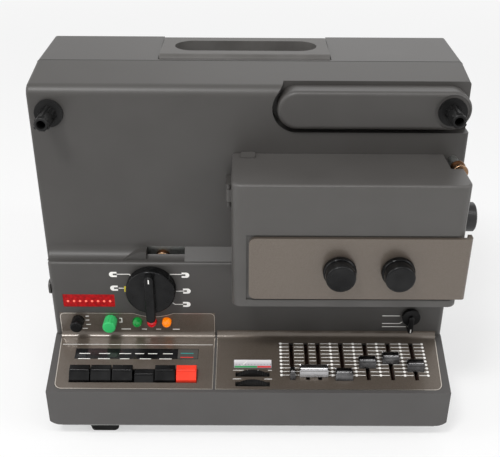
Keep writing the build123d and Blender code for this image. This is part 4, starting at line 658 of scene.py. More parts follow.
def rib_ring_tree():
    """A ring of three-sided ribs, as the knurl round a knob."""
    tree, given = start_tree(
        "Rib ring",
        [
            ("Count", WHOLE, 60),
            ("Radius", FLOAT, 10.0),
            ("Rib radius", FLOAT, 0.4),
            ("Length", FLOAT, 8.0),
        ],
    )
    values = {"Vertices": given["Count"], "Radius": given["Radius"]}
    circle = add_node(tree, "GeometryNodeMeshCircle", inputs=values)
    values = {"Vertices": 4, "Radius": given["Rib radius"], "Depth": given["Length"]}
    rib = add_node(tree, "GeometryNodeMeshCylinder", inputs=values)
    position = add_node(tree, "GeometryNodeInputPosition")
    facing = add_node(
        tree,
        "FunctionNodeAlignRotationToVector",
        {"axis": "X", "pivot_axis": "Z"},
        {"Vector": position.outputs["Position"]},
    )
    values = {
        "Points": circle.outputs["Mesh"],
        "Instance": rib.outputs["Mesh"],
        "Rotation": facing.outputs["Rotation"],
    }
    placed = add_node(tree, "GeometryNodeInstanceOnPoints", inputs=values)
    return end_tree(tree, given, placed.outputs["Instances"])


trees = {}


def grown_mesh(tree_name, finish, matrix, **values):
    """The mesh that a node tree makes with these inputs, moved into place."""
    tree = trees[tree_name]
    carrier = bpy.data.objects.new("carrier", bpy.data.meshes.new("carrier"))
    bpy.context.scene.collection.objects.link(carrier)
    modifier = carrier.modifiers.new("Tree", "NODES")
    modifier.node_group = tree
    values["Material"] = finishes[finish]
    for item in tree.interface.items_tree:
        key = item.name.replace(" ", "_")
        if item.item_type == "SOCKET" and item.in_out == "INPUT" and key in values:
            modifier[item.identifier] = values[key]
    graph = bpy.context.evaluated_depsgraph_get()
    mesh = bpy.data.meshes.new_from_object(carrier.evaluated_get(graph))
    carrier.modifiers.remove(modifier)
    bpy.data.objects.remove(carrier)
    mesh.transform(matrix)
    return mesh


# Sizes and colours that a user would change
def colour_setting(label, note, code):
    return FloatVectorProperty(
        name=label, description=note, subtype="COLOR", size=4, default=linear(code)
    )


def number_setting(label, note, value, least=0.1):
    return FloatProperty(name=label, description=note, default=value, min=least)


def count_setting(label, note, value, least):
    return IntProperty(name=label, description=note, default=value, min=least)


def power_setting(label, note, value):
    return FloatProperty(
        name=label, description=note, default=value, min=0.0, subtype="POWER", unit="POWER"
    )


class FinishSettings(bpy.types.PropertyGroup):
    """Colours of the finishes."""

    casing: colour_setting("Casing", "Textured paint of the casing", "#3f3d3b")
    cover: colour_setting("Lens cover", "Textured paint of the lens cover", "#494745")
    panel: colour_setting("Panels", "Metallic lacquer of the console and focus panels", "#5c5146")
    apron: colour_setting("Apron", "Paint of the base tray", "#4a4847")
    knobs: colour_setting("Knobs and keys", "Black plastic of knobs and keys", "#0b0b0c")
    green: colour_setting("Green knob", "Plastic of the green knob", "#36bd6b")
    record: colour_setting("Red key", "Plastic of the red key", "#f8412c")
    ink: colour_setting("Ink", "Ink of the printed marks", "#f6f4f0")


class PrintSettings(bpy.types.PropertyGroup):
    """Sizes of the printed marks, in millimetres."""

    line: number_setting("Line width", "Width of the printed lines, in mm", 0.8)
    grid_line: number_setting("Grid line width", "Width of the slide scales' lines, in mm", 0.55)
    grid_dot: number_setting("Grid dot", "Diameter of the dots on the slide scales, in mm", 1.9)
    grid_rows: count_setting("Grid rows", "Number of lines beside the slide controls", 10, 2)
    lamp_count: count_setting("Display dots", "Number of lit dots in the display", 8, 1)


class KnobSettings(bpy.types.PropertyGroup):
    """Sizes of the knurls, in millimetres."""

    ribs: count_setting("Knurl ribs", "Number of ribs round a focusing knob", 72, 12)
    rib_radius: number_setting("Rib size", "Half the height of a knurl rib, in mm", 0.42, 0.05)


class StageSettings(bpy.types.PropertyGroup):
    """Floor and light."""

    floor: colour_setting("Floor", "Colour of the floor and backdrop", "#fafafa")
    key_power: power_setting("Key light", "Power of the large light above the front", 25.0)
    edge_power: power_setting(
        "Edge light", "Power of the long light that draws a bright line along folds and edges", 8.0
    )
    fill_power: power_setting("Fill light", "Power of the lights at the sides", 14.0)
    back_power: power_setting("Back light", "Power of the light behind, which shows on the tops", 6.0)
    paper_glow: FloatProperty(
        name="Paper glow",
        description="Share of the paper's white that doesn't depend on the lights",
        default=0.55,
        min=0.0,
        max=1.0,
        subtype="FACTOR",
    )
    sky: number_setting("Ambient light", "Strength of the light from all round", 0.45, 0.0)


class PROJECTOR_OT_finishes(bpy.types.Operator):
    """Gives every solid of the model the finish of the real part"""

    bl_idname = "projector.finishes"
    bl_label = "Finishes"

    def execute(self, context):
        finishes.update(build_materials(context.scene.projector_finish))
        trees["marks"] = mark_grid_tree()
        trees["ribs"] = rib_ring_tree()
        missing = sorted(set(nodes) ^ set(NODE_FINISH))
        if missing:
            raise RuntimeError(f"no finish for {missing}")
        for name, finish in NODE_FINISH.items():
            mesh = nodes[name].data
            mesh.materials.clear()
            mesh.materials.append(finishes[finish])
            for polygon in mesh.polygons:
                polygon.material_index = 0
        return {"FINISHED"}


# Marks of the control face, from the middle of the control that they belong to
MODE_LEADERS = (
    ((-32.5, 14.4), (-20.3, 14.4), (-18.7, 11.8)),
    ((-31.7, -1.4), (-26.5, -1.4)),
    ((15.9, 12.0), (18.8, 14.5), (29.5, 14.5)),
    ((23.6, -4.6), (31.5, -4.4)),
    ((19.6, -18.0), (22.0, -19.8), (29.7, -19.8)),
)
MODE_PICTURES = ((-37.0, 14.1), (-37.0, -1.4), (34.0, 13.6), (34.8, -4.4), (34.2, -19.8))
MODE_START = (((-25.5, -5.4), (-25.5, 0.8)),)
START_WIDTH = 2.0
LEVER_SCALE = (
    ((-27.8, -9.1), (-10.4, -9.1)),
    ((-27.3, -18.2), (-10.0, -18.2), (-7.6, -16.3)),
    ((-27.0, -22.0), (-3.5, -22.0)),
)
FADE_SCALE = (
    ((7.2, 4.4), (10.6, 4.4)),
    ((7.0, -0.2), (10.6, -0.2)),
    ((7.0, -5.4), (11.6, -5.4)),
    ((3.0, -10.2), (8.3, -10.2)),
)
GREEN_SCALE = (((8.2, 2.1), (10.7, 2.1), (10.7, -2.5), (8.2, -2.5)),)
BUTTON_DASHES = ((-126.4, -117.1), (-106.2, -101.2), (-92.0, -86.9), (-75.5, -68.6))
DASH_DROP = 9.1
# Lit dots of the display
LAMP_PITCH = 5.85
LAMP_DOT = 1.7
LAMP_DROP = 0.9


def reel_mark(x, z, side):
    """A small generic picture mark: a reel with a slot for the film."""
    round_end = arc_points(0, 0, 2.9, 90, 270, 10)
    notch = [(4.5, -2.9), (4.5, -1.0), (0.8, -1.0), (0.8, 1.0), (4.5, 1.0), (4.5, 2.9)]
    return [(x - side * across, z + up) for across, up in round_end + notch]


class PROJECTOR_OT_control_prints(bpy.types.Operator):
    """Prints the marks round the rotary controls and lights the display"""

    bl_idname = "projector.control_prints"
    bl_label = "Control face prints"

    def execute(self, context):
        sizes = context.scene.projector_print
        knob_x = middle("mode_knob").x
        knob_z = high("mode_knob").z - MODE_RADIUS
        on_face = face_frame(control_y - PRINT_GAP)
        shapes = lines_from(knob_x, knob_z, MODE_LEADERS, sizes.line)
        for x, z in MODE_PICTURES:
            shapes.append(reel_mark(knob_x + x, knob_z + z, 1 if x > 0 else -1))
        lever_x = middle("speed_lever").x
        shapes += lines_from(lever_x, high("speed_lever").z, LEVER_SCALE, sizes.line)
        print_piece("control_marks", shapes, on_face, "ink")
        start = lines_from(knob_x, knob_z, MODE_START, START_WIDTH)
        print_piece("knob_start_tick", start, on_face, "yellow_ink")
        # Scales beside the small knobs and dashes between the buttons
        shapes = []
        for name, scale in (("fade_knob", FADE_SCALE), ("green_knob", GREEN_SCALE)):
            centre = middle(name)
            shapes += lines_from(centre.x, centre.z, scale, sizes.line)
        shapes += bar_rows([(middle("red_button").z - DASH_DROP, BUTTON_DASHES)], sizes.line)
        on_panel = face_frame(control_y - PANEL_PROUD - PRINT_GAP)
        print_piece("panel_marks", shapes, on_panel, "ink")
        # Lit dots behind the red window
        window = middle("display_window")
        place = Matrix.Translation((window.x, window.z - LAMP_DROP, PRINT_THICKNESS / 2))
        dots = grown_mesh(
            "marks",
            "lamps",
            face_frame(control_y + DISPLAY_RECESS - PRINT_GAP) @ place,
            Columns=sizes.lamp_count,
            Rows=1,
            Width=LAMP_PITCH * (sizes.lamp_count - 1),
            Height=0.0,
            Sides=16,
            Mark_width=LAMP_DOT,
            Mark_height=LAMP_DOT,
        )
        finish_piece("display_dots", dots, "lamps", "casing")
        return {"FINISHED"}


# Marks of the console, with rows measured up the slope from its upper edge
HAIRLINE = (-183.0, -35.5, -13.0)
HAIRLINE_WIDTH = 0.45
WHEEL_MARK_WIDTH = 0.55
WHEEL_MARKS = (
    (-44.1, ((-14.8, -4.9), (-1.6, 1.4), (7.0, 10.0), (18.5, 22.3))),
    (-54.4, ((-14.9, -7.0), (15.0, 22.0))),
)
STRIP_MARKS = (
    (-24.4, ((-164.9, -154.2), (-145.7, -135.0), (-126.0, -114.5), (-110.5, -102.0))),
    (-24.4, ((-98.1, -89.1), (-83.5, -74.0))),
    (-30.8, ((-165.0, -153.5), (-145.9, -134.5), (-124.7, -115.5), (-105.5, -94.5), (-86.5, -74.5))),
)
STRIP_COLOURS = (("strip_teal", -23.8, "teal_ink"), ("strip_red", -28.8, "red_ink"))
STRIP_COLOUR_SPAN = (-66.2, -53.8)
STRIP_COLOUR_WIDTH = 1.1
STRIP_BAR_WIDTH = 0.8
PATCH_ROWS = (-30.4, -18.6)
PATCH_WIDTH = 19.5
PATCH_MARGIN = 3.0
SLIDE_ORDER = ("trim", "mix", "manual", "tone", "balance", "volume")
GRID_TOP = -11.0
GRID_BOTTOM = -49.6
GRID_LEFT = 31.3
GRID_RIGHT = 171.0
SLOT_PLACES = (41.8, 56.3, 67.8, 90.4, 114.0, 137.0, 159.7)
SLOT_HALF = 2.6
DOT_COLUMNS = (31.3, 80.1, 102.8, 125.9, 149.0, 171.0)
# The dots lie over the lines, each by its middle out of the panel
LINE_OUT = 0.03
DOT_OUT = 0.05


class PROJECTOR_OT_console_prints(bpy.types.Operator):
    """Prints the console: hairline, indicator strip, slide scales and ticks"""

    bl_idname = "projector.console_prints"
    bl_label = "Console prints"

    def execute(self, context):
        sizes = context.scene.projector_print
        deck = deck_frame(PANEL_PROUD + PRINT_GAP)
        shapes = [bar(*HAIRLINE, HAIRLINE_WIDTH)] + bar_rows(WHEEL_MARKS, WHEEL_MARK_WIDTH)
        print_piece("console_marks", shapes, deck, "ink")
        # Indicator strip: two rows of short bars, with a grey patch, a teal and a red bar
        bars = bar_rows(STRIP_MARKS, STRIP_BAR_WIDTH)
        print_piece("strip_marks", bars, deck, "ink")
        right = high("indicator_window").x - PATCH_MARGIN
        left = right - PATCH_WIDTH
        bottom, top = PATCH_ROWS
        patch = [(right, top), (right, bottom), (left, bottom), (left, top)]
        thin = PRINT_THICKNESS / 2
        print_piece("strip_patch", [patch], deck, "grey_ink", thickness=thin)
        for name, row, finish in STRIP_COLOURS:
            mark = bar(*STRIP_COLOUR_SPAN, row, STRIP_COLOUR_WIDTH)
            print_piece(name, [mark], deck, finish)
        # Slide scales: lines that stop at each slot, with larger dots in columns
        edges = [GRID_LEFT]
        for x in SLOT_PLACES:
            edges += [x - SLOT_HALF, x + SLOT_HALF]
        edges.append(GRID_RIGHT)
        marks = [
            ((left + right) / 2, LINE_OUT, 4, right - left, sizes.grid_line)
            for left, right in zip(edges[::2], edges[1::2])
        ]
        marks += [(x, DOT_OUT, 12, sizes.grid_dot, sizes.grid_dot) for x in DOT_COLUMNS]
        meshes = []
        for x, out, sides, width, height in marks:
            place = Matrix.Translation((x, (GRID_TOP + GRID_BOTTOM) / 2, out))
            mesh = grown_mesh(
                "marks",
                "ink",
                deck @ place,
                Columns=1,
                Rows=sizes.grid_rows,
                Width=0.0,
                Height=GRID_TOP - GRID_BOTTOM,
                Sides=sides,
                Mark_width=width,
                Mark_height=height,
            )
            meshes.append(mesh)
        finish_piece("slide_scales", joined("slide_scales", meshes), "ink", "casing")
        return {"FINISHED"}


# Level meter: its ends, the rows of its face and band, and where green turns to red
METER_ENDS = (-14.0, 22.0)
METER_ROWS = (-41.3, -31.5)
BAND_ROW = -39.9
BAND_WIDTH = 1.9
BAND_ENDS = (-13.4, 8.1, 8.4, 21.4)
NEEDLE = ((-6.8, -38.6), (-1.8, -33.6))
NEEDLE_WIDTH = 0.5
TICK_PLACES = range(-12, 22, 3)
TICK_ROWS = (-37.8, -36.6)
TICK_WIDTH = 0.3


class PROJECTOR_OT_meter(bpy.types.Operator):
    """Makes the face of the level meter with its bands and needle"""

    bl_idname = "projector.meter"
    bl_label = "Level meter"

    def execute(self, context):
        left, right = METER_ENDS
        bottom, top = METER_ROWS
        face = [(left, bottom), (right, bottom), (right, top), (left, top)]
        on_meter = deck_frame(PANEL_PROUD + PRINT_GAP)
        print_piece("meter_face", [face], on_meter, "meter")
        on_face = deck_frame(PANEL_PROUD + PRINT_GAP + PRINT_THICKNESS)
        low_row, high_row = TICK_ROWS
        ticks = [ribbon([(x, low_row), (x, high_row)], TICK_WIDTH) for x in TICK_PLACES]
        for name, shapes, finish in (
            ("meter_green_band", [bar(*BAND_ENDS[:2], BAND_ROW, BAND_WIDTH)], "green_ink"),
            ("meter_red_band", [bar(*BAND_ENDS[2:], BAND_ROW, BAND_WIDTH)], "red_ink"),
            ("meter_needle", [ribbon(NEEDLE, NEEDLE_WIDTH)], "ink"),
            ("meter_ticks", ticks, "satin"),
        ):
            print_piece(name, shapes, on_face, finish)
        return {"FINISHED"}


# Half section of a focusing knob, as radius and reach, from its flange's back to its front
KNOB_REACH = 15.5
KNOB_SECTION = [
    (14.0, 0),
    (14.2, 0.4),
    (14.2, 4.6),
    (13.7, 5.2),
    (13.1, 5.3),
    (13.0, 13.8),
    (12.6, 14.8),
    (11.8, 15.4),
    (11.0, 15.5),
    (10.6, 15.3),
    (0, 15.2),
]
KNURL_RADIUS = 14.15
KNURL_MIDDLE = 2.5
KNURL_LENGTH = 4.0
SHAFT_RADIUS = 3.0
SHAFT_COLLAR = 6.0
COLLAR_LENGTH = 3.0
# Rim of the mode knob, whose ribs are sunk a little into it
RIM_RIBS = 110
RIM_SUNK = 0.1
RIM_RIB = 0.4
RIM_LENGTH = 7.6
RIM_MIDDLE = 5.0
# Rings of ribs on a spindle: ribs, radius, half a rib's height, middle behind the tip, length
SPINDLE_BARREL = 6.1
SPINDLE_RINGS = (
    ("collar", 12, SPINDLE_BARREL + 0.3, 1.0, 26.0, 20.0),
    ("crown", 10, SPINDLE_BARREL - 0.4, 1.1, 3.4, 4.6),
)


class PROJECTOR_OT_knobs(bpy.types.Operator):
    """Makes the focusing knobs, the spindles' ribs and the details of knob and lever"""

    bl_idname = "projector.knobs"
    bl_label = "Knobs"

    def execute(self, context):
        sizes = context.scene.projector_knob
        for name, body in (("focus_knob", "focus"), ("framer_knob", "framer")):
            centre = middle(name)
            flange_back = low(name).y + KNOB_REACH
            stub = flange_back - high(name).y
            place = axis_y_frame(centre.x, flange_back, centre.z)
            # The shaft's end behind the cover comes first
            collar = stub + COLLAR_LENGTH
            shaft = [(0, stub), (SHAFT_COLLAR, stub), (SHAFT_COLLAR, collar)]
            shaft += [(SHAFT_RADIUS, collar), (SHAFT_RADIUS, 0)]
            turned = lathe_mesh(name, shaft + KNOB_SECTION, place)
            knurl = grown_mesh(
                "ribs",
                "gloss",
                place @ Matrix.Translation((0, 0, KNURL_MIDDLE)),
                Count=sizes.ribs,
                Radius=KNURL_RADIUS,
                Rib_radius=sizes.rib_radius,
                Length=KNURL_LENGTH,
            )
            piece = joined(f"{name}_turned", [turned, knurl])
            piece = finish_piece(f"{name}_turned", piece, "gloss", body, True)
            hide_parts(name)
        # Ribbed collars of the spool spindles, each with a notched ring at its end
        for name, body in (("supply_spindle", "supply"), ("takeup_spindle", "takeup")):
            centre = middle(name)
            for label, count, radius, rib, back, length in SPINDLE_RINGS:
                place = axis_y_frame(centre.x, low(name).y + back, centre.z)
                ring = grown_mesh(
                    "ribs", "satin", place, Count=count, Radius=radius, Rib_radius=rib, Length=length
                )
                finish_piece(f"{name}_{label}", ring, "satin", body)
        # Knurled rim of the mode knob
        knob_x = middle("mode_knob").x
        knob_z = high("mode_knob").z - MODE_RADIUS
        rim = grown_mesh(
            "ribs",
            "gloss",
            axis_y_frame(knob_x, control_y, knob_z) @ Matrix.Translation((0, 0, RIM_MIDDLE)),
            Count=RIM_RIBS,
            Radius=MODE_RADIUS - RIM_SUNK,
            Rib_radius=RIM_RIB,
            Length=RIM_LENGTH,
        )
        finish_piece("mode_knob_rim", rim, "gloss", "mode")
        # White marks on the mode knob's bar and at the end of the speed lever
        end_x, end = middle("speed_lever").x, low("speed_lever")
        for name, body, x, bottom, top, width, front in (
            ("mode_knob_mark", "mode", knob_x, knob_z + 15.0, knob_z + 19.5, 1.1, low("mode_knob").y),
            ("speed_lever_mark", "speed", end_x, end.z + 1.5, end.z + 5.5, 0.9, end.y),
        ):
            mark = ribbon([(x, bottom), (x, top)], width)
            print_piece(name, [mark], face_frame(front - PRINT_GAP), "ink", body)
        return {"FINISHED"}


# Dome of the lens glass, in the ring's hollow behind the tip
GLASS_RADIUS = 8.9
GLASS_BACK = -1.95
GLASS_EDGE = -1.9
GLASS_RISE = 1.2
GLASS_STEPS = 8


class PROJECTOR_OT_optics(bpy.types.Operator):
    """Makes the glass of the lens"""

    bl_idname = "projector.optics"
    bl_label = "Lens glass"

    def execute(self, context):
        centre = middle("lens")
        dome = [(0, GLASS_BACK), (GLASS_RADIUS, GLASS_BACK)]
        for i in range(GLASS_STEPS + 1):
            share = 1 - i / GLASS_STEPS
            dome.append((GLASS_RADIUS * share, GLASS_EDGE + GLASS_RISE * (1 - share**2)))
        place = axis_x_frame(high("lens").x, centre.y, centre.z)
        mesh = lathe_mesh("lens_glass", dome, place, 48)
        finish_piece("lens_glass", mesh, "glass", "lens", True)
        return {"FINISHED"}


# Half section of a button's lens, as radius and reach, with its facets
JEWEL_SECTION = ((0, -6.5), (4.6, -6.5), (4.6, -0.2), (4.4, 1.1), (3.6, 2.5), (2.2, 3.5), (0, 3.8))
JEWEL_FACETS = 12


class PROJECTOR_OT_jewels(bpy.types.Operator):
    """Makes the faceted lenses of the three buttons, whose glow is painted light"""

    bl_idname = "projector.jewels"
    bl_label = "Button lenses"

    def execute(self, context):
        for colour in ("green", "red", "amber"):
            name = f"{colour}_button"
            centre = middle(name)
            place = axis_y_frame(centre.x, low(name).y + JEWEL_SECTION[-1][1], centre.z)
            mesh = lathe_mesh(f"{colour}_jewel", JEWEL_SECTION, place, JEWEL_FACETS)
            piece = finish_piece(f"{colour}_jewel", mesh, f"clear_{colour}", name)
            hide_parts(name)
        return {"FINISHED"}


# Ridges: half width, height and how far each is sunk, with its place on a key
KEY_RIDGE = (1.3, 1.5)
KEY_RIDGE_SUNK = 0.6
KEY_RIDGE_INSET = 1.2
KEY_RIDGE_BACK = 6.3
CAP_RIDGE = (4.1, 2.8)
CAP_RIDGE_SUNK = 1.2
CAP_RIDGE_INSET = 0.9


def ridge_mesh(name, across, row, out, half_width, height, steps=16):
    """A rounded bar along the console: half an ellipse up the slope, closed at its ends."""
    turns = [math.pi * i / steps for i in range(steps + 1)]
    profile = [(row + half_width * math.cos(t), out + height * math.sin(t)) for t in turns]
    form = bmesh.new()
    left, right = ([form.verts.new((x, *point)) for point in profile] for x in across)
    close_rings(form, (left, right))
    return form_mesh(name, form, deck_frame(0))


class PROJECTOR_OT_ridges(bpy.types.Operator):
    """Makes the rounded ridges of the keys and of the slide caps, which catch the light"""

    bl_idname = "projector.ridges"
    bl_label = "Key and cap ridges"

    def execute(self, context):
        keys = [(f"key_{number}", "gloss_black") for number in range(1, 6)]
        for name, slot in keys + [("record_key", "red_plastic")]:
            start, end = on_deck(name)
            across = (start.x + KEY_RIDGE_INSET, end.x - KEY_RIDGE_INSET)
            row, out = end.y - KEY_RIDGE_BACK, end.z - KEY_RIDGE_SUNK
            mesh = ridge_mesh(f"{name}_ridge", across, row, out, *KEY_RIDGE)
            finish_piece(f"{name}_ridge", mesh, NODE_FINISH[name], name, True)
        for control in SLIDE_ORDER:
            name = f"{control}_slider"
            start, end = on_deck(name)
            inset = min(CAP_RIDGE_INSET, (end.x - start.x) / 8)
            across = (start.x + inset, end.x - inset)
            row, out = (start.y + end.y) / 2, end.z - CAP_RIDGE_SUNK
            mesh = ridge_mesh(f"{control}_cap_ridge", across, row, out, *CAP_RIDGE)
            finish_piece(f"{control}_cap_ridge", mesh, NODE_FINISH[name], name, True)
        return {"FINISHED"}


# Bright edges lie a little in from the panels' own edge: cut aluminium, drawn bright as a painted
# highlight along it
EDGE_INSET = 0.5
EDGE_WIDTH = 0.7
UPRIGHT_EDGE_WIDTH = 0.6
UPRIGHT_ROUND = 4
DIP_RADIUS = 50.0
DIP_DEPTH = 4.0
DIP_LIP = 0.6
# The dark strip of painted shade in the seam: reach of the seam's faces, and its section as out and
# along the seam's direction
SEAM_REACH = 0.7
SHADE_STRIP_SECTION = ((0.22, -0.45), (0.22, 0.45), (-0.5, 0.45), (-0.5, -0.45))


class PROJECTOR_OT_edges(bpy.types.Operator):
    """Makes the panels' bright cut edges, partly painted highlight, the dip under the mode knob and a
    dark strip of painted shade in the seam
    """

    bl_idname = "projector.edges"
    bl_label = "Panel edges and seam"

    def execute(self, context):
        on_panel = deck_frame(PANEL_PROUD + PRINT_GAP)
        # The bright strips round the deck panels stand for their cut edges and carry a painted
        # highlight
        for name in ("left_panel", "right_panel"):
            line = rim_line(name, deck_frame(PANEL_PROUD), EDGE_INSET)
            mesh = strip_mesh(f"{name}_edge", line, EDGE_WIDTH, on_panel)
            finish_piece(f"{name}_edge", mesh, "bright_edge", "casing")
        self.dress_upright()
        self.fill_seam()
        return {"FINISHED"}

    def dress_upright(self):
        """The upright part of the left panel dips under the mode knob, and a bright strip along its
        edge is a painted highlight.
        """
        flat = face_points("left_panel", face_frame(control_y - PANEL_PROUD))
        left, right = (pick(p.x for p in flat) for pick in (min, max))
        sill, roof = (pick(p.y for p in flat) for pick in (min, max))
        left, right, roof = left + EDGE_INSET, right - EDGE_INSET, roof - EDGE_INSET
        centre_z = roof + DIP_RADIUS - DIP_DEPTH
        half = math.degrees(math.acos((DIP_RADIUS - DIP_DEPTH) / DIP_RADIUS))
        dip = arc_points(middle("mode_knob").x, centre_z, DIP_RADIUS, half - 90, -half - 90, 16)
        turn = UPRIGHT_ROUND
        line = [(right, sill)] + arc_points(right - turn, roof - turn, turn, 0, 90, 4) + dip
        line += arc_points(left + turn, roof - turn, turn, 90, 180, 4) + [(left, sill)]
        # Painted highlight: a bright strip along the upright's edge, where light catches it
        on_upright = face_frame(control_y - PANEL_PROUD - PRINT_GAP - PRINT_THICKNESS)
        mesh = strip_mesh("upright_edge", line, UPRIGHT_EDGE_WIDTH, on_upright)
        finish_piece("upright_edge", mesh, "bright_edge", "casing")
        hollow = [(dip[0][0], roof + DIP_LIP), (dip[-1][0], roof + DIP_LIP)] + dip[::-1]
        on_upright = face_frame(control_y - PANEL_PROUD - PRINT_GAP)
        print_piece("upright_dip", [hollow], on_upright, "casing")

    def fill_seam(self):
        """A dark rubber strip in the seam between the front casing and the rear cover is painted shade,
        standing for the shadow in the narrow gap.
        """
        seam_y = low("rear_cover").y
        meshes = [nodes[name].data for name in ("front_casing", "rear_cover")]
        points = [vertex.co / MM for mesh in meshes for vertex in mesh.vertices]
        flat = [Vector((p.x, p.z)) for p in points if abs(p.y - seam_y) < SEAM_REACH]
        rim, centre = hull_loop(flat, lambda point: 0.01 * point.x - point.y)
        form = bmesh.new()
        rings = []
        for point in rim:
            away = (point - centre).normalized()
            spots = [(point + away * out, seam_y + aside) for out, aside in SHADE_STRIP_SECTION]
            rings.append([form.verts.new((spot.x, y, spot.y)) for spot, y in spots])
        close_rings(form, rings)
        mesh = form_mesh("seam_gasket", form, Matrix.Scale(MM, 4))
        # Painted shade: a dark strip where the narrow gap shows only shadow
        finish_piece("seam_gasket", mesh, "rubber", "casing")


# The photograph's view: the camera's pitch, roll and yaw, its place and its lens
CAMERA_TURNS = (28.3, 0.36, 0.19)
CAMERA_PLACE = (-1.46, -671.35, 535.2)
CAMERA_LENS = 56.07
LIGHT_AIM = (0, 0, 0.15)
FLOOR_HALF = 12.0
# Metres from the middle at which the paper's own glow starts to grow and is whole
SHADOW_REACH = (0.7, 2.4)


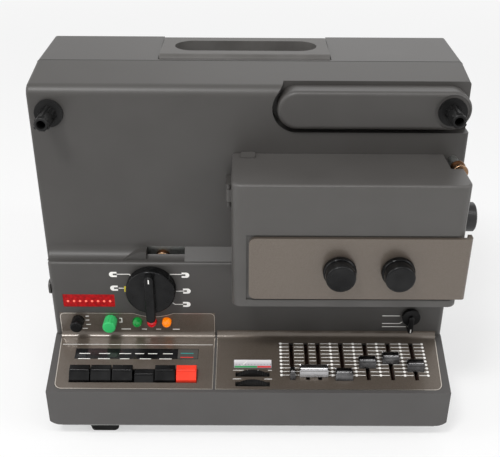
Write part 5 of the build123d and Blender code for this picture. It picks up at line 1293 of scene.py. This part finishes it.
class PROJECTOR_OT_stage(bpy.types.Operator):
    """Sets the floor, the soft lights and the camera"""

    bl_idname = "projector.stage"
    bl_label = "Stage"

    def execute(self, context):
        scene = context.scene
        settings = scene.projector_stage
        scene.view_settings.view_transform = "Standard"
        self.lay_paper(scene, settings)
        self.fill_world(scene, settings)
        self.hang_lights(scene, settings)
        self.place_camera(scene)
        return {"FINISHED"}

    def lay_paper(self, scene, settings):
        """A wide pale floor of seamless paper."""
        form = bmesh.new()
        bmesh.ops.create_grid(form, x_segments=1, y_segments=1, size=FLOOR_HALF)
        mesh = bpy.data.meshes.new("floor")
        form.to_mesh(mesh)
        form.free()
        floor = bpy.data.objects.new("floor", mesh)
        scene.collection.objects.link(floor)
        material, tree, shader, place = start_material(
            "Seamless paper", settings.floor, Roughness=0.9, Specular_IOR_Level=0.1
        )
        relief(tree, shader, grain(tree, place, 6.0), 0.02, 0.2)
        # The paper glows by itself to the camera, wholly so beyond the projector's shadow
        away = add_node(tree, "ShaderNodeVectorMath", {"operation": "LENGTH"}, {0: place})
        values = {
            "Value": away.outputs["Value"],
            "From Min": SHADOW_REACH[0],
            "From Max": SHADOW_REACH[1],
            "To Min": settings.paper_glow,
            "To Max": 1.0,
        }
        spread = add_node(tree, "ShaderNodeMapRange", inputs=values).outputs["Result"]
        values = {"Color": settings.floor, "Strength": 1.0}
        glow = add_node(tree, "ShaderNodeEmission", inputs=values).outputs[0]
        path = add_node(tree, "ShaderNodeLightPath").outputs
        values = {0: path["Is Camera Ray"], 1: spread}
        seen = add_node(tree, "ShaderNodeMath", {"operation": "MULTIPLY"}, values).outputs[0]
        values = {0: seen, 1: shader.outputs["BSDF"], 2: glow}
        paper = add_node(tree, "ShaderNodeMixShader", inputs=values).outputs[0]
        output = next(node for node in tree.nodes if node.type == "OUTPUT_MATERIAL")
        tree.links.new(paper, output.inputs["Surface"])
        mesh.materials.append(material)

    def fill_world(self, scene, settings):
        """Light from all round, which has the paper's colour where it is seen or mirrored."""
        scene.world = bpy.data.worlds.new("Studio")
        scene.world.use_nodes = True
        tree = scene.world.node_tree
        tree.nodes.clear()
        path = add_node(tree, "ShaderNodeLightPath").outputs
        seen = path["Is Camera Ray"]
        for ray in ("Is Transmission Ray", "Is Glossy Ray"):
            values = {0: seen, 1: path[ray]}
            seen = add_node(tree, "ShaderNodeMath", {"operation": "MAXIMUM"}, values).outputs[0]
        light, shown = (
            add_node(tree, "ShaderNodeBackground", inputs={"Color": colour, "Strength": strength})
            for colour, strength in ((WHITE, settings.sky), (settings.floor, 1.0))
        )
        values = {0: seen, 1: light.outputs[0], 2: shown.outputs[0]}
        blend = add_node(tree, "ShaderNodeMixShader", inputs=values).outputs[0]
        output = add_node(tree, "ShaderNodeOutputWorld")
        tree.links.new(blend, output.inputs["Surface"])

    def hang_lights(self, scene, settings):
        """Soft rectangular lights, with their places and sizes in metres."""
        for name, place, width, depth, power in (
            ("key_light", (-0.75, -1.35, 2.35), 0.55, 0.55, settings.key_power),
            ("edge_light", (0.0, -0.85, 1.5), 1.6, 0.1, settings.edge_power),
            ("left_fill", (-2.2, -0.4, 1.2), 1.4, 1.4, settings.fill_power),
            ("right_fill", (2.2, -0.9, 1.3), 1.4, 1.4, settings.fill_power),
            ("back_light", (0.4, 2.0, 1.8), 1.6, 1.6, settings.back_power),
        ):
            lamp = bpy.data.lights.new(name, "AREA")
            lamp.shape = "RECTANGLE"
            lamp.size = width
            lamp.size_y = depth
            lamp.energy = power
            light = bpy.data.objects.new(name, lamp)
            light.location = place
            ahead = Vector(LIGHT_AIM) - light.location
            light.rotation_euler = ahead.to_track_quat("-Z", "Y").to_euler()
            scene.collection.objects.link(light)

    def place_camera(self, scene):
        """A 56 mm lens on a 36 mm sensor, seen from 28 degrees above."""
        pitch, roll, yaw = (math.radians(a) for a in CAMERA_TURNS)
        ahead = Vector(
            (
                math.sin(yaw) * math.cos(pitch),
                math.cos(yaw) * math.cos(pitch),
                -math.sin(pitch),
            )
        )
        right = Vector((math.cos(yaw), -math.sin(yaw), 0))
        up = right.cross(ahead)
        side = right * math.cos(roll) + up * math.sin(roll)
        top = up * math.cos(roll) - right * math.sin(roll)
        data = bpy.data.cameras.new("photo_camera")
        data.sensor_width = 36.0
        data.lens = CAMERA_LENS
        camera = bpy.data.objects.new("photo_camera", data)
        turn = Matrix((side, top, -ahead)).transposed().to_4x4()
        camera.matrix_world = Matrix.Translation(Vector(CAMERA_PLACE) * MM) @ turn
        scene.collection.objects.link(camera)
        scene.camera = camera


class PROJECTOR_PT_panel(bpy.types.Panel):
    """Lists the steps that dress the projector"""

    bl_idname = "PROJECTOR_PT_panel"
    bl_label = "Movie projector"
    bl_space_type = "VIEW_3D"
    bl_region_type = "UI"
    bl_category = "Projector"

    def draw(self, context):
        for name in ("finish", "print", "knob", "stage"):
            settings = getattr(context.scene, f"projector_{name}")
            box = self.layout.box()
            for item in settings.bl_rna.properties:
                if item.identifier not in ("rna_type", "name"):
                    box.prop(settings, item.identifier)
        for step in steps:
            self.layout.operator(step.bl_idname)


groups = {
    "projector_finish": FinishSettings,
    "projector_print": PrintSettings,
    "projector_knob": KnobSettings,
    "projector_stage": StageSettings,
}
steps = (
    PROJECTOR_OT_finishes,
    PROJECTOR_OT_control_prints,
    PROJECTOR_OT_console_prints,
    PROJECTOR_OT_meter,
    PROJECTOR_OT_knobs,
    PROJECTOR_OT_optics,
    PROJECTOR_OT_jewels,
    PROJECTOR_OT_ridges,
    PROJECTOR_OT_edges,
    PROJECTOR_OT_stage,
)


def register():
    for name, group in groups.items():
        bpy.utils.register_class(group)
        setattr(bpy.types.Scene, name, PointerProperty(type=group))
    for step in steps:
        bpy.utils.register_class(step)
    bpy.utils.register_class(PROJECTOR_PT_panel)


def unregister():
    bpy.utils.unregister_class(PROJECTOR_PT_panel)
    for step in reversed(steps):
        bpy.utils.unregister_class(step)
    for name, group in groups.items():
        delattr(bpy.types.Scene, name)
        bpy.utils.unregister_class(group)


def main():
    register()
    for step in steps:
        area, name = step.bl_idname.split(".")
        getattr(getattr(bpy.ops, area), name)()


if __name__ == "__main__":
    main()
